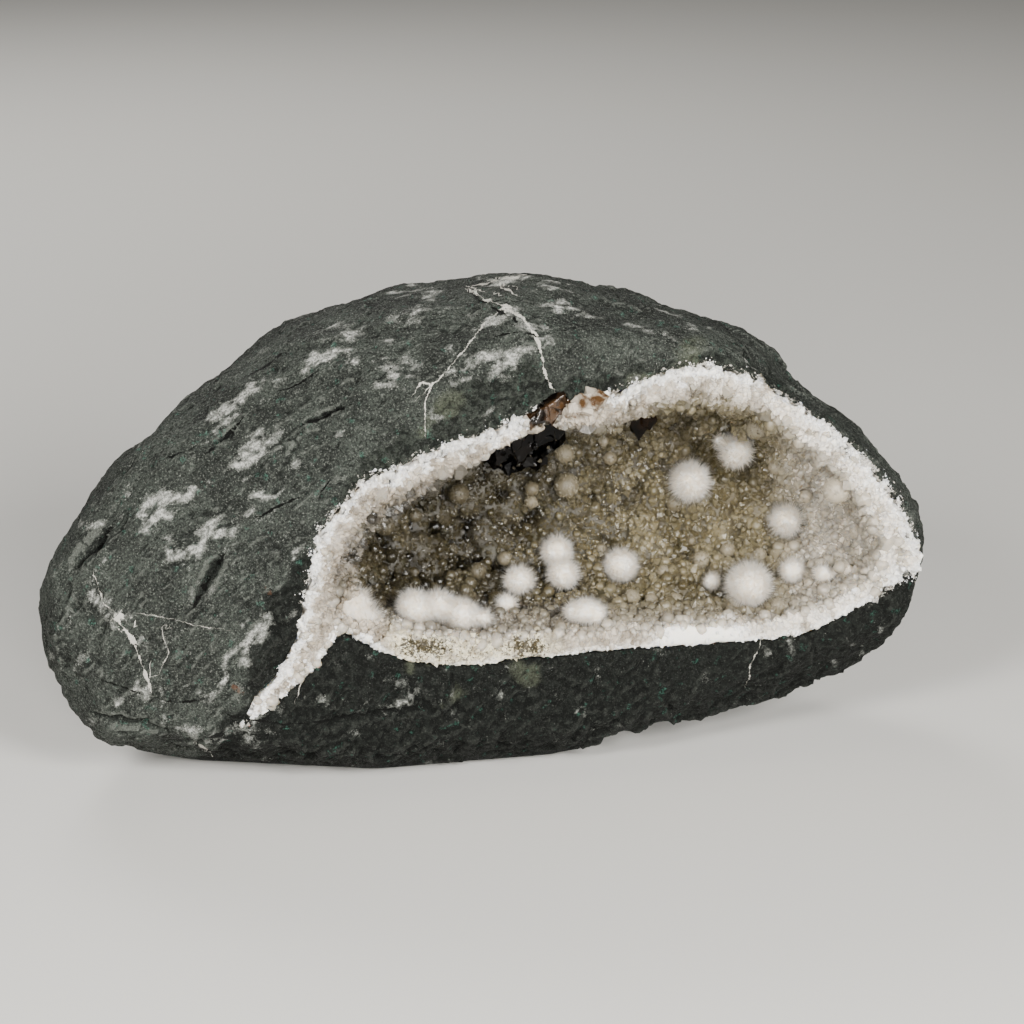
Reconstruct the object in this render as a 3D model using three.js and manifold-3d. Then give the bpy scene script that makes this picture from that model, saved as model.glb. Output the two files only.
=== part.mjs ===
// A basalt nodule broken open on a pocket that is lined with drusy quartz, in which okenite puffballs have grown.
// Millimetres, +Z up. The origin lies in the middle of the resting face's level, under the middle of the nodule's
// box. X runs along the nodule, and its broken side faces -Y.
import * as THREE from "three";
import { mergeVertices } from "three/addons/utils/BufferGeometryUtils.js";
import { ImprovedNoise } from "three/addons/math/ImprovedNoise.js";
import Module from "manifold-3d";

const wasm = await Module();
wasm.setup();

// ---------------------------------------------------------------- driving dimensions

// The nodule's widest profile, as [along, up] from its middle, in a plane that leans back from the vertical.
const PROFILE = [
  [102, -4], [101.5, -12], [99.5, -22], [93, -30], [81, -36.5], [64, -41.5], [49, -45], [31, -49], [8, -55],
  [-30, -57], [-50, -58], [-64, -57], [-80, -51], [-90, -45], [-95, -37], [-98, -21], [-97, -9], [-90, 3],
  [-82, 14], [-72, 21], [-64, 28], [-55, 34], [-44, 43], [-24, 52], [-7, 55], [14, 57], [27, 54], [38, 50],
  [54, 44], [63, 39], [69, 32], [80, 25], [93, 16], [99, 8],
];
const PROFILE_LEAN = degrees(16);
// How far the nodule swells out of that plane to the front, as [bearing in degrees, reach]: 0 is its right end and
// 90 its top. To the back it swells evenly.
const FRONT_REACH = [
  [0, 66], [26, 72], [50, 62], [80, 49], [114, 43], [145, 37], [180, 31], [215, 30], [245, 40], [300, 52],
];
const BACK_REACH = 58;
const FULLNESS = 2.25; // 2 is an ellipse, more is boxier
const SKEW = 0.18; // the right end lies further back than the left, by this share of its distance
const REST_LEVEL = -52.5; // the resting face, from the middle

// The rock's relief, as [size of the lumps, their height].
const ROCK_LUMPS = [[42, 1.8], [17, 1.2], [8, 0.5]];
// Flats where flakes came off, as [bearing, elevation, bite]: bearing 0 is right, 90 the back and 270 the front.
const FLAKES = [
  [236, 30, 2.4], [250, 56, 2], [292, 62, 2.2], [205, 32, 2.6], [196, 4, 2.6], [214, -30, 1.8], [232, -12, 2],
  [170, 22, 4], [168, -24, 3.6], [140, 42, 4], [128, 8, 3.5], [96, 58, 3], [84, 24, 3.6], [92, -14, 3.6],
  [48, 44, 3.6], [40, 6, 3.6], [52, -28, 4], [112, -44, 4], [20, 34, 2.4], [322, -48, 1.4],
];
// The undercut below the mouth, as [bearing, elevation, distance from the middle], and lesser flats beside it.
const UNDERCUTS = [[284, -52, 50], [302, -44, 53], [262, -60, 57]];
// Narrow pits in the skin, as [bearing, elevation, length, width, tilt].
const SLOTS = [
  [223, 29, 14, 2.6, 20], [203, 33, 16, 3, 38], [193, -2, 9, 3, 55], [207, -9, 9, 3, 52], [275, 54, 11, 1.6, -33],
];
const SLOT_DEPTH = 4;

// The break: a rough, upright plane that turns away to the right.
const BREAK_AT_MIDDLE = -27.6;
const BREAK_SLOPE = 0.26;
const BREAK_ROUGHNESS = [[30, 1.5], [12, 0.8]];

// The pocket's mouth in the break, as [across, up] from the pocket's middle. The crust lies between the outlines.
const POCKET_ALONG = 29;
const POCKET_UP = 6;
const MOUTH_IN_ROCK = [
  [73, -18], [69, -7], [60, 7], [47, 19], [33, 29], [20, 33], [12, 32], [1, 28], [-15, 26], [-28, 21],
  [-45, 16], [-60, 8.5], [-66, -2], [-70, -12], [-66, -19], [-60, -20.6], [-56.5, -23.8], [-45, -29.3],
  [-28, -31], [-14, -30.4], [0, -29.8], [28, -30], [44, -29.8], [54, -26.5], [61, -22.8], [69, -24.5],
];
const MOUTH_IN_CRUST = [
  [65, -14], [60, 0], [50, 11], [33, 23], [17, 26], [2, 22.6], [-8, 22.8], [-18, 21.6], [-29, 17.4], [-38, 12.9],
  [-47, 7.6], [-55, 0.8], [-60, -7], [-56, -15], [-48, -22], [-32, -25.4], [-16, -26.2], [18, -26.2], [42, -25.6],
  [60, -19],
];
const POCKET_DEPTH = 45;
const CRUST_AT_BACK = 5;
const POCKET_FULLNESS = 2.9;
const OUT_OF_MOUTH = 60; // how far the pocket's shapes run out in front of the break
const RIM_PROUD = 0.7; // the crust stands out of the break by this much
const POCKET_LUMPS = [[23, 1.6], [10, 0.9]];
const GRAIN = 1.7; // how far the druse's crystals jut from the wall

// The seam of quartz that runs down and out of the left end of the mouth.
const SEAM = [
  [-58, -12], [-69, -13], [-71, -22], [-75, -30], [-80, -34.5], [-83.5, -41], [-79.5, -38], [-73, -33],
  [-67.5, -28], [-64.5, -23.5], [-62, -20], [-58, -19.5],
];
const SEAM_DEPTH = 7;

// What grew on the crust is placed by [bearing, depth, radius]: the bearing goes round the mouth, with 0 at its
// right end and 90 at the roof, and the depth goes from 0 at the mouth to 90 at the back, in degrees.
const BALLS = {
  okenite_ball_wall_top: [[12, 38, 5], [15, 41.7, 2.8]],
  okenite_ball_wall_middle: [[-4, 53.3, 5.7]],
  okenite_ball_wall_right: [[-14.6, 30.5, 4.9]],
  okenite_ball_floor_large: [[-36.3, 14.4, 6.1]],
  okenite_ball_floor_small: [[-40, 28.4, 2.8]],
  okenite_ball_crease_right: [[-25.2, 18, 3.7]],
  okenite_ball_floor_right: [[-22.2, 11, 3], [-20.2, 10.4, 1.8]],
  okenite_ball_crease_middle: [[-67.7, 49.3, 4.8]],
  okenite_pair: [[-102, 61.2, 4.6], [-99.6, 48.5, 4.6]],
  okenite_ball_left: [[-122, 43.6, 4.3]],
  okenite_ball_left_small: [[-127.4, 28, 3.2]],
  okenite_ball_floor_front: [[-104.6, 13.3, 3.3], [-100.7, 11.4, 3.9], [-96.5, 9.7, 3.5]],
  okenite_cluster_left: [[-152, 9.2, 5.1], [-147.8, 13, 4.5], [-143.3, 9.5, 4.6], [-137.7, 10.7, 3]],
  okenite_half_ball_left: [[-166.2, 1, 5, 1.38], [-161.6, 1.5, 4.6, 1.5]],
};
const BALL_SUNK = 0.18; // share of the radius that is buried
const SPINES = 0.1; // share of the radius that the faceted spines stand out

// Glassy balls of the crust itself.
const GLASSY_BALLS = [
  [-99, 86.5, 2.3], [-160, 78.5, 1.8], [-144, 76.5, 1.6], [-175, 56, 2.5], [-136, 48, 2.1], [-28, 37.5, 1.6],
  [-33.5, 40, 1.9], [-26.5, 32, 1.9], [-60, 42.5, 1.6], [3.5, 7, 3.8], [20, 31, 2.3], [-19, 8.5, 2.1],
];

// Crystal points on the rim of the roof, in a row.
const ROOF_POINTS = { first: 18, last: 168, step: 9, depth: 5, length: 3.2, radius: 1.5 };

// Calcite blocks, as [across, into the rock, up, edge, turn, stretch].
const CALCITE = {
  smoky_calcite_cluster: [
    [-13, 1, 26.7, 4.6, 20], [-15.5, 1, 24.9, 3.8, -12], [-17.8, 1.4, 23.8, 3, 24], [-11.4, 0.6, 26.3, 2, 33, 4],
    [-9.4, 1, 25.8, 2.4, 55],
  ],
  dark_calcite_cluster: [
    [-23.5, 6.4, 16.6, 5, 12], [-19, 6.8, 18.6, 6.4, 30], [-14.4, 6.4, 20, 5.4, 8], [-11, 6.4, 20.4, 3.4, 40],
  ],
  dark_calcite_rhomb: [[7.4, 5, 22.3, 6.2, 38]],
};

const GAP = 0.35; // clearance between neighbouring solids

// How finely each form is faceted.
const ROCK_DETAIL = 7;
const POCKET_DETAIL = 5;
const DRUSE_DETAIL = 7;
const BALL_DETAIL = 2;
const SMALL_BALL_DETAIL = 1;
const SMALL_BALL = 5.5; // radius up to which a ball counts as small
const TINY_BALL = 2.6;

// ---------------------------------------------------------------- small tools

function degrees(angle) {
  return (angle * Math.PI) / 180;
}

const noise = new ImprovedNoise();

function relief(point, layers, offset = 0) {
  return layers.reduce(
    (sum, [size, height]) =>
      sum + 1.6 * height * noise.noise(point.x / size + offset, point.y / size + 7.3, point.z / size + 2.1),
    0,
  );
}

// A repeatable number from 0 to 1 for a point.
function scatter(point, seed = 0) {
  const s = Math.sin(point.x * 12.9898 + point.y * 78.233 + point.z * 37.719 + seed * 4.1414) * 43758.5453;
  return s - Math.floor(s);
}

function bareMerged(geometry) {
  const bare = geometry.clone();
  bare.deleteAttribute("normal");
  bare.deleteAttribute("uv");
  return mergeVertices(bare, 1e-4);
}

function solidOf(geometry) {
  const merged = bareMerged(geometry);
  return new wasm.Manifold(
    new wasm.Mesh({
      numProp: 3,
      vertProperties: merged.attributes.position.array,
      triVerts: new Uint32Array(merged.index.array),
    }),
  );
}

function geometryOf(solid) {
  const mesh = solid.getMesh();
  const position = new Float32Array(mesh.numVert * 3);
  for (let i = 0; i < mesh.numVert; i++)
    position.set(mesh.vertProperties.subarray(i * mesh.numProp, i * mesh.numProp + 3), i * 3);
  const geometry = new THREE.BufferGeometry()
    .setAttribute("position", new THREE.BufferAttribute(position, 3))
    .setIndex(new THREE.BufferAttribute(mesh.triVerts, 1))
    .toNonIndexed();
  geometry.computeVertexNormals();
  return geometry;
}

// A closed form of even triangles, whose every vertex goes where place() puts its direction from the middle.
function formedBall(detail, place) {
  const ball = bareMerged(new THREE.IcosahedronGeometry(1, detail));
  const position = ball.attributes.position;
  const direction = new THREE.Vector3();
  for (let i = 0; i < position.count; i++) {
    direction.fromBufferAttribute(position, i).normalize();
    position.setXYZ(i, ...place(direction).toArray());
  }
  return ball;
}

// How far a closed, smooth outline lies from its middle, by bearing.
function reachOf(outline) {
  const corners = outline.map(([x, y]) => new THREE.Vector3(x, y, 0));
  const samples = new THREE.CatmullRomCurve3(corners, true, "centripetal")
    .getPoints(outline.length * 12)
    .map((p) => ({ bearing: Math.atan2(p.y, p.x), reach: Math.hypot(p.x, p.y) }))
    .sort((p, q) => p.bearing - q.bearing);
  const turn = 2 * Math.PI;
  return (bearing) => {
    const next = Math.max(samples.findIndex((s) => s.bearing > bearing), 0);
    const after = samples[next];
    const before = samples[(next || samples.length) - 1];
    const span = (after.bearing - before.bearing + turn) % turn || turn;
    const share = ((bearing - before.bearing + turn) % turn) / span;
    return before.reach + (after.reach - before.reach) * share;
  };
}

const toOutline = ([bearing, reach]) => [
  reach * Math.cos(degrees(bearing)),
  reach * Math.sin(degrees(bearing)),
];

// The distance to a rounded form that reaches `flat` across its waist and `deep` in or out of it.
function roundedReach(direction, flat, deep, fullness) {
  const across = Math.hypot(direction.x, direction.z) / flat;
  return (across ** fullness + (Math.abs(direction.y) / deep) ** fullness) ** (-1 / fullness);
}

// ---------------------------------------------------------------- the nodule

const profileReach = reachOf(PROFILE);
const frontReach = reachOf(FRONT_REACH.map(toOutline));

function nodulePoint(direction) {
  const bearing = Math.atan2(direction.z, direction.x);
  const deep = direction.y < 0 ? frontReach(bearing) : BACK_REACH;
  const reach = roundedReach(direction, profileReach(bearing), deep, FULLNESS);
  const point = direction.clone().multiplyScalar(reach);
  point.addScaledVector(direction, relief(point, ROCK_LUMPS));
  point.y += SKEW * point.x;
  return point;
}

const towards = (bearing, elevation) =>
  new THREE.Vector3(
    Math.cos(degrees(elevation)) * Math.cos(degrees(bearing)),
    Math.cos(degrees(elevation)) * Math.sin(degrees(bearing)),
    Math.sin(degrees(elevation)),
  );

// A block that takes away everything beyond a flat at the given distance from the middle.
function beyondFlat(direction, distance) {
  const size = 300;
  return new THREE.BoxGeometry(size, size, size)
    .translate(size / 2 + distance, 0, 0)
    .applyQuaternion(new THREE.Quaternion().setFromUnitVectors(new THREE.Vector3(1, 0, 0), direction));
}

// How far a form reaches in a direction.
function farthest(geometry, direction) {
  const position = geometry.attributes.position;
  const point = new THREE.Vector3();
  let reach = 0;
  for (let i = 0; i < position.count; i++)
    reach = Math.max(reach, point.fromBufferAttribute(position, i).dot(direction));
  return reach;
}

// A long narrow pit, pointed at both ends, sunk into the skin.
function slot([bearing, elevation, length, width, tilt]) {
  const outward = towards(bearing, elevation);
  const pit = new THREE.OctahedronGeometry(1, 0)
    .scale(length / 2, width / 2, SLOT_DEPTH)
    .rotateZ(degrees(tilt));
  const place = nodulePoint(outward);
  return pit.applyMatrix4(
    new THREE.Matrix4()
      .lookAt(outward, new THREE.Vector3(), new THREE.Vector3(0, 0, 1))
      .setPosition(place),
  );
}

// Everything in front of the break, as one block with a rough back.
function beforeBreak(forward = 0) {
  const [width, thickness, height] = [260, 120, 160];
  const facet = 14;
  const block = new THREE.BoxGeometry(
    width, thickness, height, Math.round(width / facet), 1, Math.round(height / facet),
  );
  const position = block.attributes.position;
  for (let i = 0; i < position.count; i++) {
    const [x, y, z] = [position.getX(i), position.getY(i), position.getZ(i)];
    if (y > 0) position.setY(i, y + relief(new THREE.Vector3(x, 0, z), BREAK_ROUGHNESS, 3.7));
  }
  return block
    .translate(0, -thickness / 2 - forward, 0)
    .rotateZ(Math.atan(BREAK_SLOPE))
    .translate(0, BREAK_AT_MIDDLE, 0);
}

function wholeNodule() {
  const skin = formedBall(ROCK_DETAIL, nodulePoint).rotateX(-PROFILE_LEAN);
  let rock = solidOf(skin);
  for (const [bearing, elevation, bite] of FLAKES) {
    const direction = towards(bearing, elevation);
    rock = rock.subtract(solidOf(beyondFlat(direction, farthest(skin, direction) - bite)));
  }
  for (const place of SLOTS) rock = rock.subtract(solidOf(slot(place).rotateX(-PROFILE_LEAN)));
  return rock.subtract(solidOf(beyondFlat(new THREE.Vector3(0, 0, -1), -REST_LEVEL)));
}

function brokenNodule(whole) {
  let rock = whole.subtract(solidOf(beforeBreak()));
  for (const [bearing, elevation, distance] of UNDERCUTS)
    rock = rock.subtract(solidOf(beyondFlat(towards(bearing, elevation), distance)));
  return rock;
}

// ---------------------------------------------------------------- the pocket and its crust

// The pocket's own frame: X across the mouth, Y into the rock, Z up.
const pocketFrame = new THREE.Matrix4()
  .makeRotationZ(Math.atan(BREAK_SLOPE))
  .setPosition(POCKET_ALONG, BREAK_AT_MIDDLE + BREAK_SLOPE * POCKET_ALONG, POCKET_UP);

const rockReach = reachOf(MOUTH_IN_ROCK);
const crustReach = reachOf(MOUTH_IN_CRUST);

function pocketPoint(direction, mouthReach, depth, grow) {
  const mouth = mouthReach(Math.atan2(direction.z, direction.x));
  const deep = direction.y < 0 ? OUT_OF_MOUTH : depth;
  const reach = roundedReach(direction, mouth, deep, POCKET_FULLNESS) + grow;
  const point = direction.clone().multiplyScalar(reach);
  const behindRim = Math.min(Math.max(point.y / 8, 0), 1);
  return point.addScaledVector(direction, behindRim * relief(point, POCKET_LUMPS, 5.5));
}

function pocketInRock(grow = 0) {
  return formedBall(POCKET_DETAIL, (direction) => pocketPoint(direction, rockReach, POCKET_DEPTH, grow));
}

function crustWall(direction) {
  return pocketPoint(direction, crustReach, POCKET_DEPTH - CRUST_AT_BACK, 0);
}

// The hollow's wall is broken up into crystal faces.
function hollow() {
  return formedBall(DRUSE_DETAIL, (direction) =>
    crustWall(direction).addScaledVector(direction, -GRAIN * scatter(direction) ** 2),
  );
}

function seam(grow = 0) {
  const outline = new THREE.Shape(SEAM.map(([x, z]) => new THREE.Vector2(x, z)));
  return new THREE.ExtrudeGeometry(outline, {
    depth: SEAM_DEPTH + 10,
    bevelEnabled: grow > 0,
    bevelThickness: grow,
    bevelSize: grow,
    bevelSegments: 1,
  })
    .rotateX(Math.PI / 2)
    .translate(0, SEAM_DEPTH, 0);
}

// ---------------------------------------------------------------- what grew on the crust

// The point of the crust in a direction from the pocket's middle, and the way that the wall faces there.
function seat(bearing, depth) {
  const at = (b, d) =>
    crustWall(
      new THREE.Vector3(Math.cos(b) * Math.cos(d), Math.sin(d), Math.sin(b) * Math.cos(d)).normalize(),
    );
  const [b, d, step] = [degrees(bearing), degrees(depth), 0.04];
  const place = at(b, d);
  const across = at(b + step, d).sub(at(b - step, d));
  const deeper = at(b, d + step).sub(at(b, d - step));
  const inward = across.cross(deeper).normalize();
  if (inward.dot(place) > 0) inward.negate();
  return { place, inward };
}

function middleOfBall([bearing, depth, radius, sunk = BALL_SUNK]) {
  const { place, inward } = seat(bearing, depth);
  return place.addScaledVector(inward, radius * (1 - sunk));
}

function ball(lobe, spines = 0) {
  const [middle, radius] = [middleOfBall(lobe), lobe[2]];
  const detail = radius > SMALL_BALL ? BALL_DETAIL : radius > TINY_BALL ? SMALL_BALL_DETAIL : 0;
  return formedBall(detail, (direction) =>
    direction.clone().multiplyScalar(radius * (1 - spines * scatter(direction, radius))).add(middle),
  );
}

// A hollow that a ball lies in with a little clearance all round, also at the middle of its facets.
function socket(lobe) {
  const facetReach = 0.93;
  const radius = (lobe[2] + GAP) / facetReach;
  const middle = middleOfBall(lobe);
  return formedBall(SMALL_BALL_DETAIL, (direction) => direction.clone().multiplyScalar(radius).add(middle));
}

// A six-sided crystal point that stands on the wall, leaning a little at random.
function crystalPoint(bearing, depth, length, radius) {
  const { place, inward } = seat(bearing, depth);
  const lean = new THREE.Vector3(
    scatter(place, 1) - 0.5,
    scatter(place, 2) - 0.9,
    scatter(place, 3) - 0.5,
  ).multiplyScalar(0.8);
  const axis = inward.clone().add(lean).normalize();
  const grown = 0.75 + 0.5 * scatter(place, 4);
  const root = 0.4 * length;
  return new THREE.ConeGeometry(radius * grown, length * grown + root, 6)
    .translate(0, (length * grown - root) / 2, 0)
    .applyQuaternion(new THREE.Quaternion().setFromUnitVectors(new THREE.Vector3(0, 1, 0), axis))
    .translate(place.x, place.y, place.z);
}

// A calcite cleavage block: a box pushed over in two directions.
function calciteBlock([across, into, up, size, turn, stretch = 1], grow = 0) {
  const edge = size + 2 * grow;
  const skewed = new THREE.Matrix4().makeShear(0.25, 0.2, 0, 0, 0.2, 0);
  return new THREE.BoxGeometry(edge * stretch, edge, edge)
    .applyMatrix4(skewed)
    .rotateY(degrees(-turn))
    .rotateX(degrees(turn / 2))
    .translate(across, into, up);
}

// ---------------------------------------------------------------- assembly

const materials = {
  basalt: new THREE.MeshStandardMaterial({ color: 0x525650, roughness: 0.85, metalness: 0 }),
  quartz: new THREE.MeshStandardMaterial({ color: 0xcfc7b8, roughness: 0.35, metalness: 0 }),
  okenite: new THREE.MeshStandardMaterial({ color: 0xf0eae2, roughness: 0.9, metalness: 0 }),
  calcite: new THREE.MeshStandardMaterial({ color: 0x3c2713, roughness: 0.2, metalness: 0 }),
};

function named(name, solid, material) {
  const mesh = new THREE.Mesh(geometryOf(solid), material);
  mesh.name = name;
  return mesh;
}

const inPocket = (geometry) => solidOf(geometry.applyMatrix4(pocketFrame));
const joined = (geometries) => geometries.map(inPocket).reduce((sum, solid) => sum.add(solid));

const { first, last, step, depth, length, radius } = ROOF_POINTS;
const roofPoints = [];
for (let bearing = first; bearing <= last; bearing += step)
  roofPoints.push(crystalPoint(bearing, depth, length, radius));

const whole = wholeNodule();
let rock = brokenNodule(whole)
  .subtract(inPocket(pocketInRock(GAP * 1.4)))
  .subtract(inPocket(seam(GAP)));

// The crust ends where the nodule's own skin does.
let crust = joined([pocketInRock(), seam()])
  .intersect(whole)
  .subtract(inPocket(hollow()))
  .add(joined([...roofPoints, ...GLASSY_BALLS.map((place) => ball(place))]).intersect(inPocket(pocketInRock())))
  .subtract(solidOf(beforeBreak(RIM_PROUD)));

const specimen = new THREE.Group();

for (const [name, blocks] of Object.entries(CALCITE)) {
  const room = joined(blocks.map((block) => calciteBlock(block, GAP)));
  rock = rock.subtract(room);
  crust = crust.subtract(room);
  specimen.add(named(name, joined(blocks.map((block) => calciteBlock(block))), materials.calcite));
}

for (const [name, lobes] of Object.entries(BALLS)) {
  const room = joined(lobes.map(socket));
  rock = rock.subtract(room);
  crust = crust.subtract(room);
  const grown = joined(lobes.map((lobe) => ball(lobe, SPINES))).subtract(solidOf(beforeBreak(RIM_PROUD)));
  specimen.add(named(name, grown, materials.okenite));
}

specimen.add(named("basalt_nodule", rock, materials.basalt), named("quartz_crust", crust, materials.quartz));

// The origin goes under the middle of the whole box, on the level of the resting face.
const box = new THREE.Box3().setFromObject(specimen);
const middle = box.getCenter(new THREE.Vector3());
specimen.position.set(-middle.x, -middle.y, -box.min.z);

const part = new THREE.Group();
part.add(specimen);
export default part;
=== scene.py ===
# A basalt nodule broken open on a pocket of drusy quartz, in which okenite puffballs have grown.
# Everything is in metres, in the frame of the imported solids.
import math

import bpy
import numpy as np
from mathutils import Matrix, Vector, noise
from mathutils.bvhtree import BVHTree


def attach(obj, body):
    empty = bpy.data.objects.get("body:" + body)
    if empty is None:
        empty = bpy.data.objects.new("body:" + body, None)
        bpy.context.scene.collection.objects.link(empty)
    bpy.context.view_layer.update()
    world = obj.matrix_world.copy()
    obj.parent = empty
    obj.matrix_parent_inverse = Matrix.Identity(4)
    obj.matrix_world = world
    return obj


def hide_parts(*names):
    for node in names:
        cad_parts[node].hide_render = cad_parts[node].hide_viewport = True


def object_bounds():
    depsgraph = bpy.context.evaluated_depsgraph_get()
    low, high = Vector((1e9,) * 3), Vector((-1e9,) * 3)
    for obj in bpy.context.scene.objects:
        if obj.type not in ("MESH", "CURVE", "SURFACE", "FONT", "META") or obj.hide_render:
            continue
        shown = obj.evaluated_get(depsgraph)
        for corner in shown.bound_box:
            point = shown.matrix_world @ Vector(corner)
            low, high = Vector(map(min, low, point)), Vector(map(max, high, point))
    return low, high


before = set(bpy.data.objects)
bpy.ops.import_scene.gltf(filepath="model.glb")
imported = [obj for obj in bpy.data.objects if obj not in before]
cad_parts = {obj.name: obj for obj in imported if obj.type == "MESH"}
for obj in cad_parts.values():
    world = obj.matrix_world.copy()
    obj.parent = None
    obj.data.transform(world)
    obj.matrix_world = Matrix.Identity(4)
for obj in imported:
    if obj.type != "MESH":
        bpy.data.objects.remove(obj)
cad_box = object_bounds()
bpy.ops.object.select_all(action="DESELECT")

# ---------------------------------------------------------------- the basalt nodule
# The host rock: fine-grained, dark green-grey basalt, one natural lump. Its skin is weathered and slightly
# frosted with zeolite, and thin white veins cross it; towards the pocket it is freshly broken and darker.
# It is the solid's own form, made fine, with its relief worked into the surface.

MM = 0.001
ROCK_MESH = 1.0 * MM

LOW, HIGH = (np.array(corner) for corner in cad_box)
MIDDLE = (LOW + HIGH) / 2

# The nodule is looked at, and its markings are laid out, from this place in front of it and above.
VIEW_RISE = math.radians(16)
VIEW_DISTANCE = 850 * MM
AIM = MIDDLE + np.array([5.8, -9.0, -0.1]) * MM
VIEW_RIGHT = np.array([1.0, 0.0, 0.0])
VIEW_UP = np.array([0.0, math.sin(VIEW_RISE), math.cos(VIEW_RISE)])
VIEW_IN = np.array([0.0, math.cos(VIEW_RISE), -math.sin(VIEW_RISE)])
EYE = AIM - VIEW_DISTANCE * VIEW_IN

# The break is an upright plane that turns away to the right.
BREAK_SLOPE = 0.26
BREAK_POINT = np.array([MIDDLE[0], LOW[1] + 14.3 * MM, 0])
BREAK_OUT = np.array([BREAK_SLOPE, -1, 0]) / math.hypot(BREAK_SLOPE, 1)

# Markings are given as seen from the front, in mm to the right of and above the point aimed at.
# Each frosted patch is (right, up, half length, half width, tilt in degrees, strength).
FROST = [
    (-41.5, 33.5, 6, 2.2, 24, 1), (-37.5, 40, 4, 1.4, 14, 0.9), (-34, 34, 1.6, 2, 70, 0.8),
    (-28, 38, 1.8, 1, 12, 0.7), (-26, 31, 5.5, 2.3, 30, 0.8), (-62, 24, 7.5, 2, 36, 1),
    (-55, 28, 6, 1.6, 28, 0.8), (-50, 20, 2.8, 1, 24, 0.6), (-58.5, 13.5, 6, 2.6, 40, 0.9),
    (-49, 15, 3, 1.1, 18, 0.5), (-3, 34, 11, 3.4, 10, 0.9), (4, 40, 5.5, 2.6, -20, 0.9),
    (-4, 43, 4.5, 1.5, 12, 0.8), (-14, 44.5, 4.6, 0.9, 3, 0.7), (-13, 36, 2, 1.2, 20, 0.7),
    (-23, 49.8, 6, 0.8, 5, 0.9), (-79, 0.5, 7.6, 2.8, 48, 1), (-73.5, 4, 2.2, 1, 30, 0.6),
    (-94, -2.5, 2.6, 1.4, 20, 0.9), (-89, 4.8, 3, 1.1, 40, 0.6), (-71, -7.5, 7.5, 2.8, 24, 1),
    (-66, -4.5, 3.5, 2.6, 60, 0.9), (-93, -19.5, 6.4, 1.7, -62, 0.9), (-56.5, 2.5, 6.8, 1.1, 32, 0.85),
    (-71, 4.5, 3.6, 0.9, 18, 0.6), (-50.5, -11.5, 5.4, 1.1, 48, 0.6), (-61, -31, 8.5, 2.4, 52, 1),
    (-66, -37, 5, 2.5, 60, 0.7), (-84, -41, 4.4, 2.6, 20, 0.8), (-71, -50, 6, 1.5, -12, 0.7),
    (-79.5, -31, 3.5, 1.2, 65, 0.5), (-62, -49, 7, 1.4, 8, 0.5), (-20, -42, 9, 1.2, 12, 0.35),
    (15, 46, 6, 1.1, -14, 0.8), (29, 41.5, 4.6, 0.9, -20, 0.7), (42, 42, 4, 0.8, -26, 0.6),
    (36, 45, 6, 0.7, -22, 0.6), (11, 51.5, 4.4, 0.8, -4, 0.9), (-45, 12, 4, 0.8, 22, 0.5),
    (-12, 29, 3.6, 1.2, 30, 0.6), (-17, 22, 3.4, 2.2, 60, 0.7), (52, 33, 3, 0.8, -40, 0.5),
    (-2, 52.5, 6, 0.9, 6, 1), (-84, 14, 2.6, 0.8, 50, 0.6), (-90, -8, 3, 0.9, 60, 0.5),
    (-68, 15, 2.4, 0.7, 30, 0.5),
]
# Pale green altered patches in the skin: right, up, radius.
GREENISH = [
    (-15, 24, 4.5), (-19, 20, 3.2), (-13, -42, 3.4), (3, -37, 4.2), (-23, -33, 3.6), (29, 30, 4),
    (40, 36, 5),
]
LINE_REACH = 2.2  # how far from its line a vein can stray, in mm
# The line where the weathered skin ends and the fresh break begins, and round below it.
BREAK_OUTLINE = [
    (-70, -53), (-61, -42), (-56, -29), (-55, -18), (-48, -11), (-41, -2), (-38, 9), (-29, 16), (-19, 18),
    (-17, 26), (-12, 28), (-6, 32), (4, 33), (9, 29), (20, 31), (33, 35), (47, 36), (58, 32), (72, 21),
    (85, 7), (95, -11), (98, -70), (-74, -70),
]
# Open slots in the skin: right, up, half length, half width, tilt, depth.
SLOTS = [
    (-95.5, -8, 6.8, 1.3, 50, 4), (-68.7, -15.5, 5.8, 1.3, 60, 3.6), (-42.5, 21.9, 5, 0.6, 19, 2.4),
    (-65, 17, 4.4, 0.6, 44, 1.6), (-86, -48, 9, 1.2, -16, 2.6), (-30, -45.5, 14, 1, 8, 1.6),
]
VEINS = [  # half width in mm, then the points it runs through
    (0.36, [(-9.5, 49.6), (-8.6, 49.3), (-5.4, 47.6), (-1.8, 46.2), (0.6, 44.6)]),
    (0.42, [(-1.4, 46.4), (2.7, 43.4), (5.2, 40.6), (6.2, 37.6), (6.9, 34.6), (7.3, 31.5), (9, 28.4)]),
    (0.36, [(-9.2, 50.9), (-3.8, 52.2), (1, 52.8), (6.8, 54)]),
    (0.3, [(-3, 52.4), (-2.4, 50.8), (-0.6, 50)]),
    (0.11, [(-2.6, 45.6), (-5.7, 43), (-9, 38.6), (-12.6, 34.4), (-15.2, 31.4), (-18, 28.7)]),
    (0.11, [(-18, 28.7), (-19.7, 25), (-19.6, 18.5)]),
    (0.12, [(-18, 28.7), (-20.6, 29.4), (-21.6, 27.6)]),
    (0.8, [(-89, -23.3), (-88, -25.4), (-86.4, -28.6)]),
    (0.75, [(-86.4, -28.6), (-84.8, -31.8), (-84.2, -33.8)]),
    (0.35, [(-84.2, -33.8), (-83.2, -36.2), (-82, -40)]),
    (0.1, [(-89, -23.3), (-92.5, -20.5), (-94, -15)]),
    (0.07, [(-83, -23), (-76, -24.4), (-70, -26), (-65, -26.4)]),
    (0.12, [(56, -30), (54.5, -34), (53.3, -38)]),
    (0.55, [(-70.4, -53), (-68.9, -53.8)]),
    (0.09, [(-45.5, -33), (-47, -37), (-48.6, -41.5)]),
    (0.08, [(-79, -27.5), (-77.6, -32), (-80, -36.4)]),
]
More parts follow.
